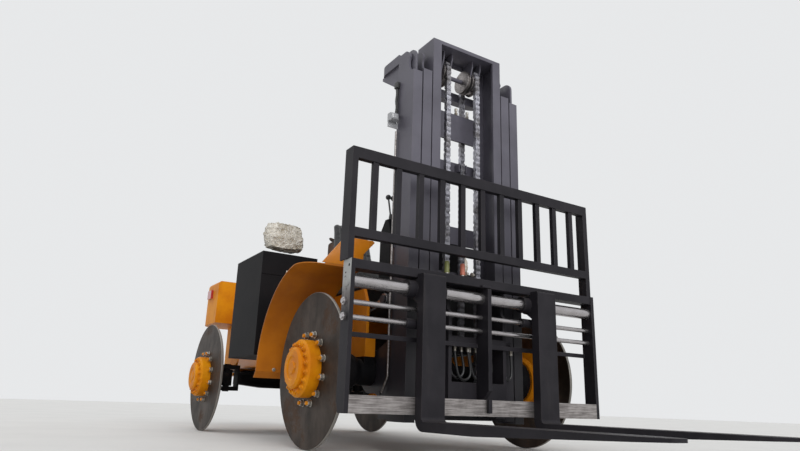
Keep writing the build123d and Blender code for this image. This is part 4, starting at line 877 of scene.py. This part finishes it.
def inflated(pad):  # the cover swells under pressure, each point by no more than the cap
    modified(pad, "REMESH", mode="VOXEL", voxel_size=seat["voxel"])
    before = [point.co.copy() for point in pad.data.vertices]
    cloth = pad.modifiers.new("cloth", "CLOTH")
    cloth.settings.use_pressure = True
    cloth.settings.uniform_pressure_force = seat["pressure"]
    cloth.settings.effector_weights.gravity = 0
    for number in range(1, seat["frames"] + 1):
        bpy.context.scene.frame_set(number)
    swollen = pad.evaluated_get(bpy.context.evaluated_depsgraph_get()).data
    after = [point.co.copy() for point in swollen.vertices]
    pad.modifiers.remove(cloth)
    for point, start, end in zip(pad.data.vertices, before, after):
        step = end - start
        point.co = start + step.normalized() * min(step.length, seat["cap"])
    bpy.context.scene.frame_set(1)
    modified(pad, "SUBSURF", levels=1)


def sewn(pad, outward, seams):  # draws the cover down in a narrow line along each seam: (axis, place)
    normals = [point.normal.copy() for point in pad.data.vertices]
    for point, normal in zip(pad.data.vertices, normals):
        away = min(abs(point.co.dot(axis) - place) for axis, place in seams)
        dip = math.exp(-(away / seat["seamWidth"]) ** 2)
        point.co -= normal * seat["seamDepth"] * dip * max(0.0, normal.dot(outward))


def makeSeat():
    cushion = cube("seat_cushion", seat["cushionLow"], seat["cushionHigh"])
    with Editing(cushion) as edit:
        edit.faces(lambda middle, normal: normal.z > 0.9)
        bpy.ops.transform.resize(value=seat["cushionTaper"], center_override=seat["cushionTop"])
        edit.points(lambda p: p.x > -0.4 and p.z > 1.25)
        bpy.ops.transform.translate(value=seat["frontDrop"])
    modified(cushion, "BEVEL", width=0.028, segments=4)
    inflated(cushion)
    for point in cushion.data.vertices:
        point.co.z = max(point.co.z, seat["cushionLow"][2])
    along, sideways = Vector((1, 0, 0)), Vector((0, 1, 0))
    seams = [(sideways, place) for place in seat["cushionSeams"]]
    sewn(cushion, Vector((0, 0, 1)), [*seams, (along, seat["thighSeam"])])
    footX, footZ = seat["backFoot"]
    topX, topZ = seat["backTop"]
    half = seat["backHalf"]
    back = cube("seat_back", (footX, -half, footZ), (footX + seat["backThick"], half, topZ))
    with Editing(back) as edit:
        edit.faces(lambda middle, normal: normal.z > 0.9)
        bpy.ops.transform.translate(value=(topX - footX + seat["backLean"], 0, 0))
        bpy.ops.transform.resize(value=seat["backTaper"], center_override=(topX + 0.05, 0, topZ))
    modified(back, "BEVEL", width=0.026, segments=4)
    inflated(back)
    upward = Vector((topX - footX, 0, topZ - footZ)).normalized()
    forward = Vector((upward.z, 0, -upward.x))
    waist = upward.dot(Vector((footX, 0, footZ + seat["waistSeam"])))
    sewn(back, forward, [*((sideways, place) for place in seat["backSeams"]), (upward, waist)])
    for pad in (cushion, back):
        settled(pad, "chassis", "seatVinyl", "seat_cover", 60)
        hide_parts("seat_pads")


makeSeat()
print("seat padded")


# Lamps in stretch film on the side boxes: a rounded lump wound in creased film
bundle = {
    "low": (-0.503, 0.598, 1.2990), "high": (-0.332, 0.949, 1.548), "cuts": 44, "round": 0.55,
    "folds": ((0.100, 0.034), (0.034, 0.016), (0.013, 0.006)), "lean": 0.03, "taper": 0.13,
    "waist": 0.07, "waistAt": 0.25, "waistSpread": 0.16, "share": (0.90, 0.92, 0.94),
}


def makeBundle():
    middle = [(a + b) / 2 for a, b in zip(bundle["low"], bundle["high"])]
    bpy.ops.mesh.primitive_cube_add(size=2)
    piece = named("film_bundle_left")
    with Editing(piece):
        bpy.ops.mesh.select_all(action="SELECT")
        bpy.ops.mesh.subdivide(number_cuts=bundle["cuts"])
        bpy.ops.transform.tosphere(value=bundle["round"], center_override=(0, 0, 0))
    half = [(b - a) / 2 for a, b in zip(bundle["low"], bundle["high"])]
    reach = max(point.co.x for point in piece.data.vertices)
    shareX, shareY, shareZ = bundle["share"]
    for point in piece.data.vertices:
        x, y, z = point.co / reach
        waist = 1 - bundle["waist"] * math.exp(-((z - bundle["waistAt"]) / bundle["waistSpread"]) ** 2)
        narrow = waist * (1 - bundle["taper"] * max(0.0, z) ** 2)
        lump = (x * shareX * narrow, (y * shareY + z * bundle["lean"]) * narrow, z * shareZ)
        point.co = [c * h + m for c, h, m in zip(lump, half, middle)]
    for number, (size, strength) in enumerate(bundle["folds"]):
        folds = bpy.data.textures.new(f"folds{number}", "VORONOI" if number else "CLOUDS")
        folds.noise_scale = size
        if number:
            folds.distance_metric = "DISTANCE_SQUARED"
            folds.weight_1, folds.weight_2 = -1.0, 1.0
        else:
            folds.noise_depth = 3
        modified(piece, "DISPLACE", texture=folds, strength=strength, mid_level=0.5, texture_coords="LOCAL")
    for point in piece.data.vertices:
        point.co = [min(max(c, low), high) for c, low, high in zip(point.co, bundle["low"], bundle["high"])]
    twin = copied(piece, Matrix.Scale(-1, 4, (0, 1, 0)))
    twin.name = "film_bundle_right"
    for lump in (piece, twin):
        settled(lump, "chassis", "stretchFilm", "film_wrap", 80)
        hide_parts("wrapped_lamps")


makeBundle()
print("film bundles wound")


# Shapes that several pieces share
def paired(piece, stem, body, finish, slot, angle=40):  # the piece and its mirror image, one for each side
    twin = copied(piece, Matrix.Scale(-1, 4, (0, 1, 0)))
    for part, (side, _) in zip((piece, twin), sides):
        part.name = f"{stem}_{side}"
        settled(part, body, finish, slot, angle)


def ring(name, inner, outer, low, high, steps=28):  # a bevelled band turned round Z
    bpy.ops.mesh.primitive_circle_add(vertices=8, radius=1 / math.cos(math.pi / 8),
                                      rotation=(math.pi / 2, 0, 0))
    middle = Matrix.Translation(((outer + inner) / 2, 0, (high + low) / 2))
    size = Matrix.Diagonal(((outer - inner) / 2, 1, (high - low) / 2, 1))
    piece = placed(named(name), middle @ size @ Matrix.Rotation(math.pi / 8, 4, "Y"))
    with Editing(piece) as edit:
        bpy.ops.mesh.select_all(action="SELECT")
        bpy.ops.mesh.spin(steps=steps, angle=2 * math.pi, center=(0, 0, 0), axis=(0, 0, 1))
        bpy.ops.mesh.select_all(action="SELECT")
        bpy.ops.mesh.remove_doubles(threshold=0.00001)
        edit.outward()
    return piece


def ribbed(name, foot, top, radius, pitch, count=12):  # corrugated tube, rib after rib
    rings = [(radius * 0.78, foot)]
    for number in range(round((top - foot) / pitch)):
        low = foot + number * pitch
        rings += [(radius * wide, low + pitch * share)
                  for wide, share in ((0.84, 0.12), (1, 0.35), (1, 0.65), (0.84, 0.88))]
    return stack(name, count, rings + [(radius * 0.78, top)])


def elbow(name, radius, bend):  # a pipe's bend from +Z round to +X, from the origin on
    bpy.ops.mesh.primitive_circle_add(vertices=14, radius=radius)
    piece = named(name)
    with Editing(piece) as edit:
        bpy.ops.mesh.select_all(action="SELECT")
        bpy.ops.mesh.spin(steps=8, angle=math.pi / 2, center=(bend, 0, 0), axis=(0, 1, 0))
        bpy.ops.mesh.select_all(action="SELECT")
        bpy.ops.mesh.fill_holes(sides=0)
        edit.outward()
    return piece


def hexNut(radius, low, high):
    step = radius * 0.10
    return stack("hex", 6, [(radius - step, low), (radius, low + step * 0.6), (radius, high - step * 0.6),
                            (radius - step, high)])


def block(name, low, high, width=0.002, segments=2):  # plate or bar with eased edges
    return modified(cube(name, low, high), "BEVEL", width=width, segments=segments)


# Mast top: the outer webs run on above the flanges; lamp glasses, conduits and hose fittings
mastTop = {
    "finLow": (0.640, 0.402, 2.362), "finHigh": (0.766, 0.418, 2.545), "finCorner": 0.060,
    "lensLow": (0.637, 0.4635, 2.0435), "lensHigh": (0.650, 0.5165, 2.0885), "dome": 0.006,
    "conduitX": 0.606, "conduitY": 0.4562, "conduitFoot": 2.094, "conduitTop": 2.298, "conduitRadius": 0.0105,
    "rib": 0.0125, "wave": 0.0035, "junctionLow": (0.588, 0.4442, 2.294),
    "junctionHigh": (0.624, 0.4700, 2.338),
    "fittingX": 0.587, "fittingsY": (0.048, 0.147), "fittingZ": 2.2495,
}


def makeMastTop():
    fin = cube("fin", mastTop["finLow"], mastTop["finHigh"])
    with Editing(fin) as edit:
        edit.edges(lambda middle, run: abs(run.y) > 0.01 and middle.x > 0.75 and middle.z > 2.5)
        bpy.ops.mesh.bevel(offset=mastTop["finCorner"], segments=8, affect="EDGES")
    modified(fin, "BEVEL", width=0.0015, segments=2)
    paired(fin, "web_end", "outer_mast", "mastCharcoal", "mast_paint", 30)
    lens = cube("lens", mastTop["lensLow"], mastTop["lensHigh"])
    with Editing(lens) as edit:
        edit.faces(lambda middle, normal: normal.x > 0.9)
        bpy.ops.mesh.inset(thickness=0.009, depth=mastTop["dome"])
    modified(lens, "BEVEL", width=0.003, segments=3)
    paired(lens, "mast_lamp_lens", "outer_mast", "clearLens", "lamp_glass", 50)
    low, high, radius = (mastTop[name] for name in ("conduitFoot", "conduitTop", "conduitRadius"))
    conduit = ribbed("conduit", low, high, radius, mastTop["rib"])
    for point in conduit.data.vertices:
        point.co.x += mastTop["conduitX"] + mastTop["wave"] * math.sin(point.co.z * 62)
        point.co.y += mastTop["conduitY"]
    paired(conduit, "lamp_conduit", "outer_mast", "blackPlastic", "black_plastic", 60)
    junction = block("junction", mastTop["junctionLow"], mastTop["junctionHigh"], 0.003, 3)
    paired(junction, "lamp_junction", "outer_mast", "blackPlastic", "black_plastic")
    fittings = []
    for y in mastTop["fittingsY"]:
        foot = Matrix.Translation((mastTop["fittingX"], y, mastTop["fittingZ"]))
        stub = stack("stub", 14, [(0.0085, 0.010), (0.0085, 0.030), (0.0110, 0.031), (0.0110, 0.050),
                                  (0.0095, 0.052)])
        collar = ring("collar", 0.006, 0.0125, 0.014, 0.020, 16)
        fittings += [placed(part, foot) for part in (hexNut(0.014, 0, 0.014), collar, stub)]
    settled(joined("crossmember_fittings", fittings), "inner_mast", "zincPlate", "ground_steel", 30)


makeMastTop()
print("mast top dressed")


# Couplings with dust caps on the carriage plate, pipe elbows beside them, ferrules on the hoses
carriageFittings = {
    "x": 0.845, "top": 0.9895, "caps": {"green": -0.206, "orange": -0.088},
    "elbows": (-0.034, 0.012), "elbowTurn": math.radians(-70),
    "footLow": (0.9755, -0.0128, 0.232), "footHigh": (0.9948, 0.0128, 0.306),
    "hookLow": (0.9705, -0.052, 0.946), "hookHigh": (0.9945, 0.0128, 0.960),
    "shaftEnd": (0.930, 0.9195, 0.888), "shaftCapRadius": 0.0385,
}
for capColour, tint in (("green", (0.15, 0.16, 0.050)), ("orange", (0.42, 0.125, 0.080))):
    finishes[f"{capColour}Cap"] = mouldedFinish(f"{capColour}Cap", tint, 0.45, 260, 0.0004)


def makeCarriageFittings():
    top, x = carriageFittings["top"], carriageFittings["x"]
    steel = []
    for capColour, y in carriageFittings["caps"].items():
        place = Matrix.Translation((x, y, top))
        body = stack("body", 20, [(0.0115, 0.014), (0.0115, 0.040), (0.0135, 0.042), (0.0135, 0.052)])
        steel += [placed(part, place) for part in (hexNut(0.0165, 0, 0.016), body)]
        cap = stack(f"coupling_cap_{capColour}", 20, [
            (0.0145, 0.046), (0.0158, 0.048), (0.0158, 0.054), (0.0150, 0.056), (0.0150, 0.108),
            (0.0130, 0.117), (0.0070, 0.120),
        ])
        settled(placed(cap, place), "carriage", f"{capColour}Cap", "black_plastic", 35)
    for y in carriageFittings["elbows"]:
        place = Matrix.Translation((x, y, top)) @ Matrix.Rotation(carriageFittings["elbowTurn"], 4, "Z")
        riser = stack("riser", 14, [(0.0095, 0.010), (0.0095, 0.031)])
        bend = placed(elbow("bend", 0.0095, 0.026), Matrix.Translation((0, 0, 0.030)))
        end = placed(hexNut(0.0135, 0, 0.018), facing((0.026, 0, 0.056), (1, 0, 0)))
        steel += [placed(part, place) for part in (hexNut(0.0150, 0, 0.016), riser, bend, end)]
    settled(joined("carriage_couplings", steel), "carriage", "zincPlate", "ground_steel", 30)
    for part in ("foot", "hook"):
        plate = block(f"centre_{part}", carriageFittings[f"{part}Low"], carriageFittings[f"{part}High"])
        settled(plate, "carriage", "carriageBlack", "mast_paint")
    radius = carriageFittings["shaftCapRadius"]
    shaftCap = stack("shaftCap", 32, [(radius, 0), (radius, 0.0020), (radius - 0.001, 0.0030),
                                      (0.014, 0.0030), (0.013, 0.0018)])
    placed(shaftCap, facing(carriageFittings["shaftEnd"], (0, 1, 0)))
    paired(shaftCap, "shaft_cap", "carriage", "carriagePaint", "mast_paint", 30)
    sleeve = stack("sleeve", 14, [(0.0090, 0.0), (0.0122, 0.0008), (0.0122, 0.003), (0.0100, 0.004),
                                  (0.0100, 0.014), (0.0112, 0.015), (0.0112, 0.040), (0.0094, 0.042)])
    ferrule = joined("ferrule", [sleeve, hexNut(0.0128, 0.003, 0.013)])
    ferrules = spread("hose_ferrules", ferrule, [facing(end, (0, 0, -1)) for end in hoseEnds])
    settled(ferrules, "carriage", "zincPlate", "ground_steel", 30)


makeCarriageFittings()
print("carriage fittings on")


# Hub covers: a ring of cast bosses with bolts, and the filler plug
hubs = {"bosses": 18, "bossCircle": 0.1395, "foot": 0.905, "boltRadius": 0.0092, "plugCircle": 0.046,
        "plugFace": 0.9565}


def makeHubDetails():
    count = hubs["bosses"]
    for axle, centre in axles.items():
        for side, sign in sides:
            boss = stack("boss", 14, [(0.0150, 0), (0.0175, 0.006), (0.0175, 0.026), (0.0155, 0.0295),
                                      (0.0120, 0.0310)])
            bolt = hexNut(hubs["boltRadius"], 0.0305, 0.0390)
            places = roundWheel(centre, sign, hubs["foot"], hubs["bossCircle"], count, math.pi / count, 1.3)
            bosses = spread("bosses", joined("boss", [boss, bolt]), places)
            spot = facing((centre[0] + hubs["plugCircle"], sign * hubs["plugFace"], centre[2]), (0, sign, 0))
            plug = placed(hexNut(0.011, 0, 0.0065), spot)
            collar = placed(ring("collar", 0.010, 0.0165, 0, 0.003, 20), spot)
            whole = joined(f"{axle}_hub_bosses_{side}", [bosses, plug, collar])
            settled(whole, f"{axle}_wheel_{side}", "castYellow", "body_paint", 35)


makeHubDetails()
print("hubs bolted")


# Driver's place: lever boots, grip knob, gauges
cabin = {
    "levers": (-0.285, -0.245, -0.205, -0.165), "leverFoot": (0.300, 1.4795),
    "bootHeight": 0.045, "bootLean": (-0.027, 0, 0.168), "wheelCentre": (0.035, 0, 1.445),
    "wheelRadius": 0.175, "wheelTilt": math.radians(35), "knobAngle": math.radians(140),
    "gaugeX": 0.2155, "gauges": ((-0.060, 1.400), (0.045, 1.400)), "gaugeRadius": 0.036,
}


def makeCabin():
    height = cabin["bootHeight"]
    boot = ribbed("boot", 0, height, 0.0185, 0.009, 16)
    for point in boot.data.vertices:
        narrow = 1 - 0.45 * point.co.z / height
        point.co.x *= narrow
        point.co.y *= narrow
    footX, footZ = cabin["leverFoot"]
    places = [facing((footX, y, footZ), cabin["bootLean"]) for y in cabin["levers"]]
    boots = spread("lever_boots", boot, places)
    settled(boots, "chassis", "hoseRubber", "hose_rubber", 60)
    tilt, angle = cabin["wheelTilt"], cabin["knobAngle"]
    upward = Vector((-math.sin(tilt), 0, math.cos(tilt)))
    forward = Vector((math.cos(tilt), 0, math.sin(tilt)))
    outward = forward * math.cos(angle) + Vector((0, 1, 0)) * math.sin(angle)
    knob = stack("wheel_grip_knob", 20, [(0.009, 0), (0.009, 0.014), (0.019, 0.022), (0.0235, 0.032),
                                         (0.0235, 0.044), (0.019, 0.054), (0.010, 0.058)])
    rim = Vector(cabin["wheelCentre"]) + outward * cabin["wheelRadius"] + upward * 0.010
    settled(placed(knob, facing(rim, upward)), "steering_wheel", "blackPlastic", "black_plastic", 45)
    bezels, glasses = [], []
    radius = cabin["gaugeRadius"]
    for y, z in cabin["gauges"]:
        place = facing((cabin["gaugeX"], y, z), (-1, 0, 0))
        bezels.append(placed(ring("bezel", radius - 0.004, radius + 0.003, -0.001, 0.007, 32), place))
        glass = stack("glass", 32, [(radius - 0.0035, 0), (radius - 0.0035, 0.003), (radius * 0.6, 0.0045)])
        glasses.append(placed(glass, place))
    settled(joined("gauge_bezels", bezels), "chassis", "blackPlastic", "black_plastic", 40)
    settled(joined("gauge_glasses", glasses), "chassis", "clearLens", "lamp_glass", 40)


makeCabin()
print("driver's place dressed")


# Body fittings: box latches, hood latches, cylinder glands, exhaust flap
bodyFittings = {
    "boxLatch": (-0.3400, 0.735, 1.120), "hoodLatch": (-1.20, 0.5255, 1.150),
    "glandPlace": (0.548, 0.365, 0), "glandFoot": 1.872, "glandTop": 1.904, "glandInner": 0.0262,
    "glandOuter": 0.0400, "wiperOuter": 0.031,
    "flapHinge": (-2.020, 0.420, 1.902), "flapRadius": 0.043, "flapLean": math.radians(-28),
}


def makeBodyFittings():
    x, y, z = bodyFittings["boxLatch"]
    plate = block("plate", (x, y - 0.028, z - 0.045), (x + 0.004, y + 0.028, z + 0.045), 0.0015)
    grip = cube("grip", (x + 0.004, y - 0.018, z - 0.035), (x + 0.013, y + 0.018, z + 0.006))
    with Editing(grip) as edit:
        edit.faces(lambda middle, normal: normal.x > 0.9)
        bpy.ops.mesh.inset(thickness=0.005, depth=-0.003)
    modified(grip, "BEVEL", width=0.0015, segments=2)
    paired(joined("latch", [plate, grip]), "box_latch", "chassis", "zincPlate", "ground_steel", 35)
    foot, top, inner = (bodyFittings[name] for name in ("glandFoot", "glandTop", "glandInner"))
    gland = ring("gland", inner, bodyFittings["glandOuter"], foot, top, 32)
    wiper = ring("wiper", inner, bodyFittings["wiperOuter"], top - 0.001, top + 0.006, 32)
    glands = placed(joined("gland", [gland, wiper]), Matrix.Translation(bodyFittings["glandPlace"]))
    paired(glands, "lift_gland", "outer_mast", "satinBlack", "black_paint", 35)
    hinge = Matrix.Translation(bodyFittings["flapHinge"]) @ Matrix.Rotation(bodyFittings["flapLean"], 4, "X")
    radius = bodyFittings["flapRadius"]
    flap = stack("exhaust_flap", 28, [(radius - 0.001, 0), (radius, 0.001), (radius, 0.004),
                                      (radius * 0.8, 0.007), (radius * 0.3, 0.009)])
    placed(flap, hinge @ Matrix.Translation((0, -radius + 0.003, 0.004)))
    settled(flap, "chassis", "heatBlack", "exhaust_steel", 35)
    x, y, z = bodyFittings["hoodLatch"]
    strap = block("strap", (x - 0.014, y, z - 0.060), (x + 0.014, y + 0.004, z + 0.030), 0.0012)
    buckle = block("buckle", (x - 0.020, y + 0.003, z - 0.030), (x + 0.020, y + 0.012, z + 0.012), 0.003, 3)
    paired(joined("latch", [strap, buckle]), "hood_latch", "hood", "blackPlastic", "black_plastic", 35)


makeBodyFittings()
print("body fittings on")


# Fenders and tow point: taller gussets at the mast, bolts at the fender's foot, tow pin with its ring
fenderFittings = {
    "gusset": ((0.812, 1.098), (0.674, 1.272), (0.655, 1.284), (0.460, 1.287), (0.446, 1.276), (0.526, 1.188),
               (0.526, 1.098)),
    "gussetX": (0.3660, 0.3762), "boltX": -0.2595, "bolts": ((0.824, 0.464), (0.620, 0.464)),
    "boltRadius": 0.0095,
    "towX": -2.430, "towLow": 0.555, "towTop": 0.712, "towRadius": 0.0155,
}


def makeFenderFittings():
    outline = fenderFittings["gusset"]
    back, front = fenderFittings["gussetX"]
    bpy.ops.mesh.primitive_circle_add(vertices=len(outline), radius=1, fill_type="NGON")
    gusset = named("gusset")
    for point, (y, z) in zip(gusset.data.vertices, outline):
        point.co = (back, y, z)
    with Editing(gusset) as edit:
        edit.drawn((front - back, 0, 0))
    modified(gusset, "BEVEL", width=0.0015, segments=2)
    paired(gusset, "fender_gusset", "chassis", "machineYellow", "body_paint", 30)
    bolt = joined("bolt", [ring("washer", 0.0052, 0.0125, 0, 0.002, 16),
                           hexNut(fenderFittings["boltRadius"], 0.001, 0.0075)])
    places = [facing((fenderFittings["boltX"], y, z), (1, 0, 0), y * 9) for y, z in fenderFittings["bolts"]]
    paired(spread("bolts", bolt, places), "fender_bolts", "chassis", "zincPlate", "ground_steel", 30)
    radius, low, top = (fenderFittings[name] for name in ("towRadius", "towLow", "towTop"))
    pin = stack("pin", 20, [(radius - 0.005, low - 0.004), (radius, low + 0.004), (radius, top),
                            (0.025, top + 0.001), (0.026, top + 0.003), (0.026, top + 0.010),
                            (0.024, top + 0.012), (0.009, top + 0.014), (0.008, top + 0.024)])
    upright = Matrix.Translation((0, 0, top + 0.046)) @ Matrix.Rotation(math.pi / 2, 4, "X")
    loop = placed(ring("loop", 0.020, 0.029, -0.0045, 0.0045, 24), upright)
    tow = placed(joined("tow_pin", [pin, loop]), Matrix.Translation((fenderFittings["towX"], 0, 0)))
    settled(tow, "chassis", "zincPlate", "ground_steel", 40)


makeFenderFittings()
print("fender fittings on")
